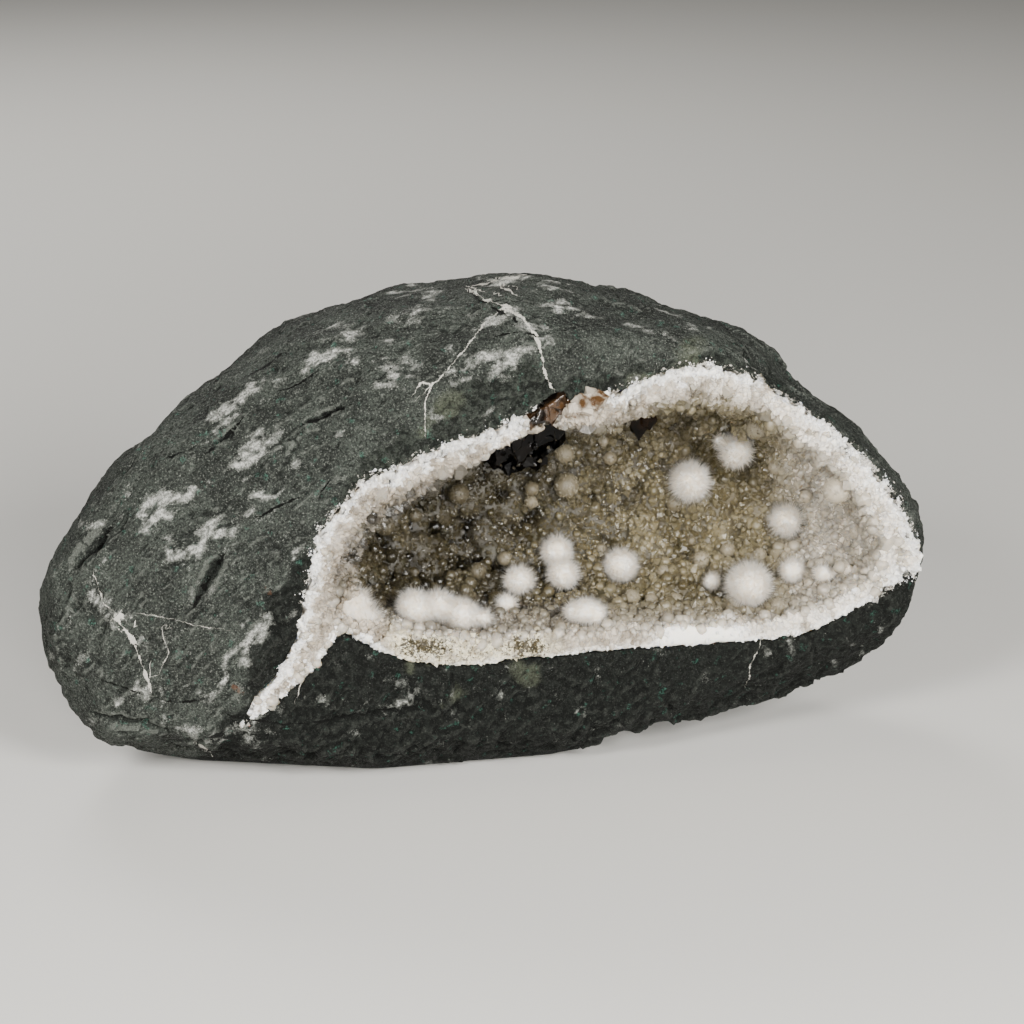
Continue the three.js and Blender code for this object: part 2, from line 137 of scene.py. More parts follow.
CRACKS = [
    (0.3, [(-9, 49), (-5, 46.6), (-1, 44.2), (0.6, 43.2)]),
    (0.5, [(-48, 19.2), (-42.5, 21.8), (-37.5, 23.6)]),
    (0.32, [(-68, 13.8), (-65, 17), (-62, 20)]),
    (0.26, [(-51, 27.8), (-48, 29), (-45, 30.8)]),
    (0.24, [(-59, 31), (-55, 33), (-51.6, 35.4)]),
    (0.6, [(-97.5, -10.6), (-95.5, -8), (-91, -3)]),
    (0.6, [(-71.6, -20.4), (-68.7, -15.5), (-65.8, -10.6)]),
    (0.22, [(-57, -1), (-53, 1.3), (-49, 3)]),
    (0.2, [(-43, 4.2), (-41, 7.2)]),
    (0.24, [(-77, 12), (-72, 14)]),
    (0.2, [(-4, 39.5), (2, 41), (5, 40.2)]),
    (0.22, [(-30, 30), (-26.6, 33)]),
    (0.2, [(-92, -38), (-84, -41.6), (-76, -43.4), (-70, -42.6)]),
    (0.2, [(-64, -46), (-52, -48), (-40, -47), (-28, -45)]),
]
RUST = [(-55, -17.5, 2.2), (-62.5, -40, 1.6)]  # right, up, radius


def select_only(*pieces):
    bpy.ops.object.select_all(action="DESELECT")
    for piece in pieces:
        piece.select_set(True)
    bpy.context.view_layer.objects.active = pieces[0]


def copy_of(node, name):
    """A copy of a solid, with its loose triangles merged into a closed mesh."""
    piece = bpy.data.objects.new(name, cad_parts[node].data.copy())
    bpy.context.scene.collection.objects.link(piece)
    piece.data.materials.clear()
    select_only(piece)
    bpy.ops.object.mode_set(mode="EDIT")
    bpy.ops.mesh.select_all(action="SELECT")
    bpy.ops.mesh.remove_doubles(threshold=0.001 * MM)
    bpy.ops.object.mode_set(mode="OBJECT")
    return piece


def modify(piece, kind, **settings):
    """Adds a modifier with its settings and applies it."""
    select_only(piece)
    modifier = piece.modifiers.new(kind.lower(), kind)
    for setting, value in settings.items():
        setattr(modifier, setting, value)
    bpy.ops.object.modifier_apply(modifier=modifier.name)


def corners(mesh):
    places = np.empty(len(mesh.vertices) * 3, np.float32)
    mesh.vertices.foreach_get("co", places)
    return places.reshape(-1, 3).astype(float)


def normals(mesh):
    directions = np.empty(len(mesh.vertices) * 3, np.float32)
    mesh.vertex_normals.foreach_get("vector", directions)
    return directions.reshape(-1, 3).astype(float)


def place_corners(piece, places):
    """Moves a piece's corners, not past the box of the solids, and shades the piece smooth."""
    mesh = piece.data
    mesh.vertices.foreach_set("co", np.clip(places, LOW, HIGH).astype(np.float32).ravel())
    mesh.polygons.foreach_set("use_smooth", np.ones(len(mesh.polygons), bool))
    mesh.update()


def paint(piece, name, values):
    """Stores a number or a vector for each corner of a piece, for its material to read."""
    values = np.asarray(values, np.float32)
    kind, field = ("FLOAT", "value") if values.ndim == 1 else ("FLOAT_VECTOR", "vector")
    piece.data.attributes.new(name, kind, "POINT").data.foreach_set(field, values.ravel())


def unit(vectors):
    """Each vector made as long as 1."""
    return vectors / np.linalg.norm(vectors, axis=1)[:, None]


def ramp(values, start, end):
    """0 before start and 1 after end, with a smooth step between."""
    share = np.clip((values - start) / (end - start), 0, 1)
    return share * share * (3 - 2 * share)


def as_seen(places):
    """How far right of and above the point aimed at each place lies, as seen from the front, in mm."""
    off = places - EYE
    scale = VIEW_DISTANCE / (off @ VIEW_IN) / MM
    return np.stack([off @ VIEW_RIGHT * scale, off @ VIEW_UP * scale], 1)


def tree_of(piece):
    mesh = piece.data
    mesh.calc_loop_triangles()
    return BVHTree.FromPolygons([v.co for v in mesh.vertices], [t.vertices for t in mesh.loop_triangles])


def inside_outline(seen, outline):
    """How far each seen point lies inside an outline, in mm, less than 0 outside."""
    points = np.array(outline, float)
    nearest = np.full(len(seen), 1e9)
    inside = np.zeros(len(seen), bool)
    for a, b in zip(points, np.roll(points, -1, 0)):
        along = np.clip((seen - a) @ (b - a) / ((b - a) @ (b - a)), 0, 1)
        nearest = np.minimum(nearest, np.linalg.norm(seen - a - along[:, None] * (b - a), axis=1))
        crosses = (a[1] > seen[:, 1]) != (b[1] > seen[:, 1])
        reach = (b[0] - a[0]) * (seen[:, 1] - a[1]) / (b[1] - a[1] + 1e-12) + a[0]
        inside ^= crosses & (seen[:, 0] < reach)
    return np.where(inside, nearest, -nearest)


def chips(point, size, seed):
    """The tilted facets of a hackly break: heights of about -1 to 1, with a step at each edge."""
    place = point / size + Vector((seed, 0, 0))
    middle = noise.voronoi(place)[1][0]
    tilt = noise.cell_vector(middle * 7.31) - Vector((0.5, 0.5, 0.5))
    return (place - middle).dot(tilt) * 1.6 + tilt.x * 0.5


# The rock's grain runs in arcs about a line far below the nodule, so that it follows the nodule's back.
GRAIN_CENTRE = AIM + np.array([-5, 0, -75]) * MM
GRAIN_RADIUS = 110


def along_grain(places):
    """Each place as how far it lies along the grain, out across it and back, in mm."""
    off = (places - GRAIN_CENTRE) / MM
    turned = np.arctan2(off[:, 0], off[:, 2]) * GRAIN_RADIUS
    return np.stack([turned, np.hypot(off[:, 0], off[:, 2]), off[:, 1]], 1)


def ledge(height, drop=0.14):
    """A stair with rounded treads: from -0.5 up to 0.5 along each unit of height, then a sharp drop."""
    share = height - math.floor(height)
    return share / (1 - drop) - 0.5 if share < 1 - drop else 0.5 - (share - 1 + drop) / drop


def skin_relief(point, along):
    """The weathered skin: soft lumps, and shallow ridges, ledges and pits that run with the grain."""
    grained = Vector((along.x / 13, along.y / 4.6, along.z / 8))
    waves = noise.noise(grained * 0.5 + Vector((3, 1, 8)))
    lumps = 1.1 * noise.noise(point / 19) + 0.6 * noise.noise(point / 8)
    ridges = 0.3 * noise.ridged_multi_fractal(grained, 0.8, 2.1, 3, 1.0, 2.0) - 0.3
    patches = max(0, noise.noise(point / 23 + Vector((9, 2, 5))) + 0.15)
    ledges = 0.9 * patches * ledge(along.y / 9 + 1.6 * waves)
    flakes = 0.8 * chips(Vector((along.x / 2, along.y, along.z / 1.4)), 7, 5)
    flakes += 0.35 * chips(Vector((along.x / 2, along.y, along.z / 1.4)), 3, 8)
    pits = -2.6 * max(0, noise.noise(point / 2.6 + Vector((4, 4, 4))) - 0.38)
    return lumps + ridges + ledges + flakes + pits + 0.3 * noise.fractal(point / 1.9, 0.5, 2.2, 2)


def break_relief(point):
    """The fresh break: chips of several sizes, and low in the rock ledges that run across."""
    rough = 0.6 * noise.fractal(point / 4, 0.6, 2.1, 4)
    low = 1 - min(max((point.z - 12) / 14, 0), 1)
    ledges = 1.2 * low * ledge((point.z - 0.12 * point.x) / 7 + 2.6 * noise.noise(point / 11))
    return 1.3 * chips(point, 9, 1) + 0.6 * chips(point, 3.6, 2) + rough + ledges


def line_marks(seen, lines):
    """Each seen point's distance from the nearest line, less than 0 on its right, and its half width."""
    marks = np.full((len(seen), 3), 9.0)
    marks[:, 1:] = 0
    for half, line in lines:
        for (ax, ay), (bx, by) in zip(line, line[1:]):
            start, way = np.array([ax, ay]), np.array([bx - ax, by - ay])
            share = np.clip((seen - start) @ way / (way @ way), 0, 1)
            off = seen - start - share[:, None] * way
            gap = np.linalg.norm(off, axis=1)
            nearer = gap < np.abs(marks[:, 0])
            side = np.where(way[0] * off[:, 1] - way[1] * off[:, 0] < 0, -1, 1)
            marks[nearer, 0] = (gap * side)[nearer]
            marks[nearer, 1] = half
    marks[:, 1] *= (np.abs(marks[:, 0]) < LINE_REACH) * front * np.clip(0.3 + 2 * square_on, 0.1, 1)
    return marks


def hollowness(piece):
    """How far each corner lies below its neighbours, in mm: more than 0 in a hollow and less on a ridge."""
    mesh = piece.data
    ends = np.empty(len(mesh.edges) * 2, np.int32)
    mesh.edges.foreach_get("vertices", ends)
    one, other = ends.reshape(-1, 2).T
    at = corners(mesh)
    total, count = np.zeros_like(at), np.zeros(len(at))
    for a, b in ((one, other), (other, one)):
        for axis in range(3):
            total[:, axis] += np.bincount(a, at[b, axis], len(at))
        count += np.bincount(a, minlength=len(at))
    return np.sum((total / count[:, None] - at) * normals(mesh), 1) / MM


rock = copy_of("basalt_nodule", "basalt_rock")
base = copy_of("quartz_crust", "quartz_base")
crust_tree = tree_of(base)

modify(rock, "REMESH", mode="VOXEL", voxel_size=ROCK_MESH)
places = corners(rock.data)
to_crust = []
for place in places:
    nearest, _, _, distance = crust_tree.find_nearest(Vector(place))
    to_crust.append([*nearest, distance])
to_crust = np.array(to_crust)
crust_way = (to_crust[:, :3] - places) / np.maximum(to_crust[:, 3:], 1e-6)
crust_distance = to_crust[:, 3] / MM

# The facets of the solid are rounded off, except beside the pocket.
loose = rock.vertex_groups.new(name="loose")
for index, weight in enumerate(ramp(crust_distance, 1.5, 6)):
    if weight > 0:
        loose.add([index], float(weight), "REPLACE")
modify(rock, "SMOOTH", iterations=24, vertex_group="loose")
modify(rock, "SMOOTH", iterations=3)

places, facing = corners(rock.data), normals(rock.data)
seen = as_seen(places)
square_on = np.sum(facing * unit(EYE - places), 1)
front = ramp(square_on, -0.1, 0.15)
ragged = np.array([3.0 * noise.fractal(Vector(p) / MM / 7, 0.8, 2.2, 3) for p in places])
fresh = ramp(inside_outline(seen, BREAK_OUTLINE) + ragged, -0.8, 0.8) * front

noise.seed_set(1)  # without it noise_vector differs from run to run
grained = along_grain(places)
warped = np.array([noise.noise_vector(Vector(g)) for g in grained / (5, 3.4, 4)])[:, :2] * 3.2
torn = np.array([noise.fractal(Vector(g), 0.6, 2.2, 4) for g in grained / (3.2, 1.8, 2.4)])
scuffs = np.array([noise.noise(Vector((g[0] / 9, g[1] / 3, g[2] / 6 + 40))) for g in grained])
behind = np.array([1.8 * noise.noise(Vector(g)) - 0.35 for g in grained / (22, 5, 12)])


def off_spot(strayed, right, up, length, width, tilt=0.0):
    """How far each seen point lies from a tilted oval's middle: 1 on its outline."""
    turn = math.radians(tilt)
    off = seen + strayed - np.array([right, up])
    along = (off[:, 0] * math.cos(turn) + off[:, 1] * math.sin(turn)) / length
    across = (off[:, 1] * math.cos(turn) - off[:, 0] * math.sin(turn)) / width
    return np.hypot(along, across)


frost, green, rust = np.zeros((3, len(places)))
for *spot, strength in FROST:
    frost = np.maximum(frost, strength * np.clip(1.5 - off_spot(warped, *spot), 0, 1))
for right, up, radius in GREENISH:
    green = np.maximum(green, 1.2 - off_spot(warped, right, up, radius, radius))
for right, up, radius in RUST:
    rust = np.maximum(rust, 1.2 - off_spot(0.8 * warped, right, up, 0.6 * radius, 1.2 * radius))
frost = np.clip(frost * front + np.clip(behind, 0, 1) * (1 - front), 0, 1)
frost = frost * (1 + 2.2 * torn) + 0.9 * np.clip(scuffs - 0.12, 0, 1) * (1 + 2 * torn) * front

faces_crust = np.sum(facing * crust_way, 1) > 0.5
room = np.where(faces_crust & (crust_distance < 4), 0, 0.35 + 0.65 * ramp(crust_distance, 0.5, 5))
relief = np.empty(len(places))
for index, (place, along, share) in enumerate(zip(places, grained, fresh)):
    point, along = Vector(place) / MM, Vector(along)
    height = share * break_relief(point) if share > 0 else 0
    if share < 1:
        height += (1 - share) * skin_relief(point, along)
    relief[index] = height
for *slot, deep in SLOTS:
    inside = np.clip(1 - off_spot(0.35 * warped, *slot) ** 2, 0, 1)
    relief -= deep * np.sqrt(inside) * front * (room > 0)
rests = 1 - ramp(-facing[:, 2], 0.6, 0.95) * (1 - ramp(places[:, 2], 1 * MM, 5 * MM))
places += facing * (relief * room * rests * MM)[:, None]
place_corners(rock, places)
paint(rock, "fresh", fresh)
paint(rock, "frost", np.clip(frost, 0, 1.3))
paint(rock, "rust", np.clip(rust, 0, 1) * front)
paint(rock, "green", np.clip(green, 0, 1) * front)
paint(rock, "hollow", hollowness(rock))
paint(rock, "rim", crust_distance + 4 * (1 - front) + 2.5 * (1 - ramp(seen[:, 1], -26, -18)))
paint(rock, "vein", line_marks(seen, VEINS))
paint(rock, "crack", line_marks(seen, CRACKS))
paint(rock, "grained", grained)


def colour(code):
    """A linear colour from an sRGB hex value."""
    parts = [int(code[i:i + 2], 16) / 255 for i in (1, 3, 5)]
    return [c / 12.92 if c <= 0.04045 else ((c + 0.055) / 1.055) ** 2.4 for c in parts] + [1.0]


def material(name):
    """A new material, and its node tree emptied, which the nodes added next go into."""
    made = bpy.data.materials.new(name)
    made.use_nodes = True
    made.node_tree.nodes.clear()
    return made, made.node_tree


def add(kind, inputs, **settings):
    """Adds a shader node. Each socket, by name or number, gets a value, a hex colour or what feeds it."""
    node = tree.nodes.new(f"ShaderNode{kind}")
    for setting, value in settings.items():
        setattr(node, setting, value)
    for key, value in inputs.items():
        named = [s for s in node.inputs if s.enabled and s.name == key]
        socket = node.inputs[key] if isinstance(key, int) else named[0]
        if isinstance(value, bpy.types.Node):
            value = next(s for s in value.outputs if s.enabled)
        if isinstance(value, bpy.types.NodeSocket):
            tree.links.new(value, socket)
        else:
            socket.default_value = colour(value) if isinstance(value, str) else value
    return node


def grains(*sizes):
    """Where a point is on the piece, and noises there, each of a grain size in mm, detail and roughness."""
    place = add("TexCoord", {}).outputs["Object"]
    noises = [
        add("TexNoise", {"Vector": place, "Scale": 1 / (size * MM), "Detail": detail, "Roughness": roughness})
        for size, detail, roughness in sizes
    ]
    return place, *noises


def product(*factors):
    """The product of values. (value, start, end, low, high) is a smooth step, by itself from 0 to 1."""
    whole = None
    for factor in factors:
        if isinstance(factor, tuple):
            value, start, end, low, high = (*factor, 0.0, 1.0)[:5]
            span = {"Value": value, "From Min": start, "From Max": end, "To Min": low, "To Max": high}
            factor = add("MapRange", span, interpolation_type="SMOOTHSTEP")
        whole = factor if whole is None else add("Math", {0: whole, 1: factor}, operation="MULTIPLY")
    return whole


def total(first, *weighted):
    """Adds to a first value others, each with its weight."""
    for value, weight in weighted:
        first = add("Math", {0: product(value), 1: weight, 2: first}, operation="MULTIPLY_ADD")
    return first


def layered(under, *layers):
    """Lays colours over one another, each as far as the product of its factors says."""
    for over, *factors in layers:
        under = add("Mix", {"Factor": product(*factors), "A": under, "B": over}, data_type="RGBA")
    return under


def surfaced(inputs, height=None, strength=1.0, deep=0.0):
    """Ends a material: its surface, and a fine relief deep mm high."""
    if height is not None:
        inputs["Normal"] = add("Bump", {"Strength": strength, "Distance": deep * MM, "Height": height})
    add("OutputMaterial", {"Surface": add("BsdfPrincipled", inputs)})


def dress(piece, made):
    """Gives a finished piece its material and its place in the part."""
    piece.data.materials.clear()
    piece.data.materials.append(made)
    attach(piece, "root")


# Weathered and fresh basalt: matt, dark green-grey, with a salt-and-pepper grain of about 0.4 mm, flecks of
# teal celadonite, a whitish zeolite bloom in torn patches, and chalk-white veins 0.3 to 1 mm wide.
basalt, tree = material("basalt_weathered_and_broken")
place, clouding, speckle, fine, flaky, flecked, wander, thinning, branching = grains(
    (9, 3, 0.6), (0.42, 2, 0.7), (1.5, 5, 0.7), (0.7, 5, 0.8), (2.6, 2, 0.6), (1.6, 5, 0.75), (2.4, 3, 0.6),
    (1.3, 6, 0.75),
)
is_fresh, has_frost, has_rust, has_green, hollow, near_rim = [
    add("Attribute", {}, attribute_name=name).outputs["Fac"]
    for name in ("fresh", "frost", "rust", "green", "hollow", "rim")
]
vein, crack, with_grain = [
    add("Attribute", {}, attribute_name=name).outputs["Vector"] for name in ("vein", "crack", "grained")
]
with_grain = add("VectorMath", {0: with_grain, 1: (0.3, 0.95, 0.6)}, operation="MULTIPLY")
streak = add("TexNoise", {"Vector": with_grain, "Scale": 0.5, "Detail": 6, "Roughness": 0.7})
scratch = add("TexNoise", {"Vector": with_grain, "Scale": 1.5, "Detail": 5, "Roughness": 0.72})
thinned = product((thinning, 0.4, 0.6, 0.05, 1.3))


def drawn(marks, raggedness):
    """Where the surface lies close to one of a set of lines, with a ragged edge."""
    marks = add("SeparateXYZ", {"Vector": marks}).outputs
    strayed = total(-raggedness / 2, (marks["X"], 1), (wander, raggedness))
    distance = add("Math", {0: strayed}, operation="ABSOLUTE")
    edge = total(distance, (product(marks["Y"], thinned), -1))
    return product((edge, 0.06, -0.04), (marks["Y"], 0.02, 0.1))


cracked = drawn(crack, 1.2)
skin = layered(
    "#2a2d2a",
    ("#404540", (clouding, 0.38, 0.62)),
    ("#565b55", (streak, 0.45, 0.68, 0, 0.4)),
    ("#6c7069", (flaky, 0.52, 0.64, 0, 0.38)),
    ("#131513", (flaky, 0.48, 0.38, 0, 0.6)),
    ("#161816", (scratch, 0.47, 0.38, 0, 0.6)),
)
height_up = add("SeparateXYZ", {"Vector": place}).outputs["Z"]
# The fresh break is painted darker low down and lighter high up: painted shade towards the bottom of the
# rock.
lower = layered("#0a0c0a", ("#1f221f", (fine, 0.42, 0.6)))
upper = layered("#171a17", ("#3b403a", (fine, 0.42, 0.6)))
broken = layered(lower, (upper, (height_up, 45 * MM, 75 * MM)), ("#2e322d", (flaky, 0.52, 0.66, 0, 0.45)))
weathered = product((is_fresh, 0, 1, 1, 0.2))
pepper = product((speckle, 0.46, 0.34, 0, 0.5))
patchy = total(has_frost, (flaky, 2.6), (scratch, 1.6))
# The last layer is white quartz that grows into the rock beside the crust, in small branching specks.
rock_colour = layered(
    skin,
    (broken, is_fresh),
    ("#5f6453", (total(has_green, (fine, 0.9)), 0.75, 1.45, 0, 0.5)),
    ("#0f110f", pepper),
    ("#868a82", (speckle, 0.57, 0.69, 0, 0.6), weathered),
    # Painted shade darkens the hollows of the relief, and painted light makes the ridges of the weathered
    # skin paler.
    ("#0f110f", (hollow, 0.05, 0.28, 0, 0.6)),
    ("#888c84", (hollow, -0.08, -0.3, 0, 0.3), weathered),
    ("#3c6a5b", (flecked, 0.62, 0.72), (speckle, 0.42, 0.62), 0.6),
    ("#c3c5bd", (total(speckle, (has_frost, 0.2)), 0.72, 0.86, 0, 0.9)),
    ("#8f928c", (total(has_frost, (flaky, 1.1)), 0.85, 1.9, 0, 0.36)),
    ("#8a8c86", (patchy, 2.55, 3.1, 0, 0.5)),
    ("#d6d6d0", (patchy, 3.15, 3.65, 0, 0.85)),
    ("#1a1c19", pepper),
    ("#5a3a26", (total(has_rust, (fine, 1.2)), 1.15, 1.5, 0, 0.7)),
    ("#d9d6cc", drawn(vein, 1.5)),
    # The cracks are painted near black: painted shade in the open cracks and slots.
    ("#0c0d0b", cracked),
    ("#ddd8ce", (total(near_rim, (branching, -14)), -6.2, -6.8)),
)
matt = product((speckle, 0.3, 0.7, 0.9, 0.62))
height = total(fine, (speckle, 0.35), (scratch, 1), (cracked, -1.2))
surfaced({"Base Color": rock_colour, "Roughness": matt, "Specular IOR Level": 0.15}, height, 1, 1.6)
dress(rock, basalt)
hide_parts("basalt_nodule")

# ---------------------------------------------------------------- the quartz crust
# The pocket's lining: milky quartz and chalcedony, 4 to 8 mm thick, white and sugary where the break cuts it,
# and inside a druse of small glassy crystals that crowd into knobs, with globules between them. The base is
# the solid's own form made fine and knobbly; crystals and globules are many small closed forms joined.

CRUST_MESH = 0.75 * MM
rng = np.random.default_rng(7)


def depth_in(places):
    """How far each place lies behind the break, in mm."""
    return (BREAK_POINT - places) @ BREAK_OUT / MM


POCKET_MIDDLE = np.array([28 * MM, BREAK_POINT[1] + (28 * BREAK_SLOPE + 16) * MM, 58.5 * MM])


def beads(point, size, seed):
    """The height of round beads that crowd together, as a share of the beads' radius."""
    place = point / size + Vector((0, seed, 0))
    gap = noise.voronoi(place)[0][0]
    return math.sqrt(max(0, 0.55 - gap * gap))


BEAD_TOP = 0.74  # the height of the middle of a bead
KNOB_SIZE = 5.4  # mm from one knob of the druse to the next
LUMP_SIZE = 4.2  # mm from one lump of the rim to the next


def knobbly(places):
    """How far up on one of the druse's knobs each place lies: 0 in the crevices between them, 1 on top."""
    return np.array([beads(Vector(p) / MM, KNOB_SIZE, 3) for p in places]) / BEAD_TOP


def knob_tint(places):
    """A random number from 0 to 1 for each place, the same all over one knob."""
    middles = [noise.voronoi(Vector(p) / MM / KNOB_SIZE + Vector((0, 3, 0)))[1][0] for p in places]
    return np.array([noise.cell_vector(middle * 7.31).x for middle in middles])


def toward_pocket(places):
    """The way to the pocket's middle from each place."""
    return unit(POCKET_MIDDLE - places)


rock_tree = tree_of(rock)


def from_rock(places):
    """How far each place is from the rock, in mm."""
    return np.array([rock_tree.find_nearest(Vector(p))[3] for p in places]) / MM


def on_rim(places, way):
    """Whether each place is on the rim's cut edge, which lies deeper behind the break on its left."""
    return (way @ BREAK_OUT > 0.35) & (depth_in(places) < 1.6 + 2.6 * ramp(-as_seen(places)[:, 0], 28, 36))


def raggedness(places):
    """How ragged the rim's outer edge is: little along the pocket's lower edge, much elsewhere."""
    seen = as_seen(places)
    return np.maximum(ramp(seen[:, 1], -25, -17), ramp(-seen[:, 0], 29, 33))


def bitten(places):
    """How far the rock's colour reaches in over the rim's cut edge at each place, in mm."""
    ragged = np.array([noise.fractal(Vector(p) / MM / 3.4 + Vector((5, 5, 5)), 0.7, 2.2, 4) for p in places])
    return np.clip(0.2 + 4.2 * ragged, 0, 3.2) * raggedness(places)


def whiteness(places):
    """How white the quartz is: most at the break, the pocket's right end and the front of its floor."""
    depth, seen = depth_in(places), as_seen(places)
    upper = ramp(seen[:, 1], -24, -14) * (1 - ramp(seen[:, 0], 60, 85))
    rim = (1 - ramp(depth, 0.6, 4.5)) * (1 - 0.55 * upper * ramp(from_rock(places), 3.2, 6.5))
    right_end = 0.85 * ramp(seen[:, 0], 46, 70)
    floor_front = 0.7 * ramp(-seen[:, 1], 12, 27)
    return np.maximum(rim, np.maximum(right_end, floor_front))


def sandiness(places):
    """How far the quartz is a beige, sandy mass with brown specks, as it is on the break's lower left."""
    seen = as_seen(places)
    across = ramp(seen[:, 0], -30, -24) * (1 - ramp(seen[:, 0], 4, 14))
    dirt = np.exp(-(((seen[:, 0] + 20.5) / 5) ** 2)) + np.exp(-(((seen[:, 0] - 3.5) / 4) ** 2))
    dirt *= np.exp(-(((seen[:, 1] + 30.5) / 2.2) ** 2))
    return (across * ramp(-seen[:, 1], 22, 26) + 1.5 * dirt) * (depth_in(places) < 5)


def plate(places):
    """How far each place is part of the smooth, snow-white plate on the break's lower right."""
    seen = as_seen(places)
    off = ((seen[:, 0] - 42.5) / 11) ** 4 + ((seen[:, 1] + 27) / 3.8) ** 4
    return np.exp(-off) * (depth_in(places) < 3)


PUFFS = [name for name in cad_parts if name.startswith("okenite")]
puff_trees = []
for name in PUFFS:
    solid = copy_of(name, "ball")
    puff_trees.append(tree_of(solid))
    bpy.data.objects.remove(solid)


def from_puffs(places):
    """How far each place is from the nearest okenite ball, in mm."""
    return np.array([min(tree.find_nearest(Vector(p))[3] for tree in puff_trees) for p in places]) / MM


modify(base, "REMESH", mode="VOXEL", voxel_size=CRUST_MESH)
modify(base, "SMOOTH", iterations=3)
places, facing = corners(base.data), normals(base.data)
faces_pocket = np.sum(facing * toward_pocket(places), 1)
depth = depth_in(places)
inner = ramp(faces_pocket, -0.1, 0.3)
on_face = ramp(facing @ BREAK_OUT, 0.5, 0.8) * (depth < 2)
bite = bitten(places) * on_rim(places, facing)
off_rim = ramp(-faces_pocket, 0.3, 0.6) * (1 - ramp(depth, 1, 4)) * (1 - on_face)
rough = 1 - 0.9 * np.maximum(plate(places), 0.9 * (1 - raggedness(places)))
relief = np.zeros(len(places))
bulky = np.flatnonzero(inner * (depth > 1) > 0)
clear = np.zeros(len(places))
clear[bulky] = ramp(from_puffs(places[bulky]), 0.3, 2)
for index in np.flatnonzero((inner > 0) | (on_face > 0) | (off_rim > 0)):
    point = Vector(places[index]) / MM
    fine_beads = 0.5 * beads(point, 2.3, 1) + 0.25 * beads(point, 1.1, 2) - 0.3
    knobs = 4.0 * beads(point, KNOB_SIZE, 3) - 2.0
    lumps = 2.0 * beads(point, LUMP_SIZE, 4) - 1.2 + 0.8 * noise.fractal(point / 2.4, 0.7, 2.1, 4)
    jags = 0.4 + 2.2 * noise.fractal(point / 2.6, 0.7, 2.2, 3)
    relief[index] = (
        inner[index] * (fine_beads + knobs * clear[index])
        + on_face[index] * (1 - inner[index]) * (lumps * rough[index] - 0.3 * bite[index])
        + off_rim[index] * jags * rough[index]
    )
places += facing * (relief * MM)[:, None]
place_corners(base, places)


def surface_points(piece, count, wanted):
    """Random points spread over a piece's surface where wanted says so, with the way it faces there."""
    mesh = piece.data
    mesh.calc_loop_triangles()
    index = np.empty(len(mesh.loop_triangles) * 3, np.int32)
    mesh.loop_triangles.foreach_get("vertices", index)
    index = index.reshape(-1, 3)
    at, out = corners(mesh), normals(mesh)
    a, b, c = (at[index[:, i]] for i in range(3))
    area = np.linalg.norm(np.cross(b - a, c - a), axis=1)
    middles = (a + b + c) / 3
    way = out[index].mean(1)
    way /= np.linalg.norm(way, axis=1)[:, None] + 1e-12
    weight = area * wanted(middles, way)
    picked = rng.choice(len(index), count, p=weight / weight.sum())
    s, t = rng.random(count), rng.random(count)
    s, t = np.where(s + t > 1, 1 - s, s), np.where(s + t > 1, 1 - t, t)
    points = a[picked] + s[:, None] * (b - a)[picked] + t[:, None] * (c - a)[picked]
    return points, way[picked]


def spaced(points, radii, closeness):
    """Which points to keep, so that none lies within closeness times their radii of one kept before it."""
    cell = 2 * radii.max() * closeness
    around = [(x, y, z) for x in (-1, 0, 1) for y in (-1, 0, 1) for z in (-1, 0, 1)]
    kept, grid = [], {}
    for index, (point, radius) in enumerate(zip(points, radii)):
        x, y, z = np.floor(point / cell).astype(int).tolist()
        near = (other for a, b, c in around for other in grid.get((x + a, y + b, z + c), ()))
        if all(math.dist(point, points[other]) > closeness * (radius + radii[other]) for other in near):
            kept.append(index)
            grid.setdefault((x, y, z), []).append(index)
    return np.array(kept)


def sizes(middle, spread, least, most, count):
    """Random radii in metres about a middle size in mm."""
    return MM * np.clip(rng.lognormal(math.log(middle), spread, count), least, most)


def turned_to(ways):
    """A random turn about each way, as a frame whose third axis is that way."""
    first = unit(np.cross(rng.normal(size=ways.shape), ways))
    return np.stack([first, np.cross(ways, first), ways], 2)


def framed(ways, radii, lean=0.0, tall=1.0):
    """A frame for each form: its radius, tall times that along its way, which leans at random."""
    if lean:
        ways = unit(ways + rng.normal(size=ways.shape) * lean)
    return turned_to(ways) * (radii[:, None] * np.array([1, 1, tall]))[:, None, :]


def template(make, **settings):
    """The corners and triangles of a small form that an operator makes."""
    bpy.ops.object.select_all(action="DESELECT")
    make(**settings)
    form = bpy.context.object
    modify(form, "TRIANGULATE")
    shape = corners(form.data), np.array([p.vertices[:] for p in form.data.polygons])
    bpy.data.objects.remove(form)
    return shape


def joined_copies(name, shape, middles, frames, uneven=0.0, smooth=False):
    """One mesh of many copies of a small form, each with its place, its turn and size."""
    form, triangles = shape
    count, size = len(middles), len(form)
    forms = np.repeat(form[None], count, 0)
    forms += rng.normal(size=forms.shape) * uneven
    at = middles[:, None, :] + np.einsum("nij,nvj->nvi", frames, forms)
    index = (triangles[None] + (np.arange(count) * size)[:, None, None]).reshape(-1, 3)
    mesh = bpy.data.meshes.new(name)
    mesh.vertices.add(count * size)
    mesh.vertices.foreach_set("co", np.clip(at.reshape(-1, 3), LOW, HIGH).astype(np.float32).ravel())
    mesh.loops.add(index.size)
    mesh.loops.foreach_set("vertex_index", index.astype(np.int32).ravel())
    mesh.polygons.add(len(index))
    mesh.polygons.foreach_set("loop_start", np.arange(0, index.size, 3, dtype=np.int32))
    mesh.polygons.foreach_set("use_smooth", np.full(len(index), smooth))
    mesh.update(calc_edges=True)
    mesh.validate()
    piece = bpy.data.objects.new(name, mesh)
    bpy.context.scene.collection.objects.link(piece)
    return piece


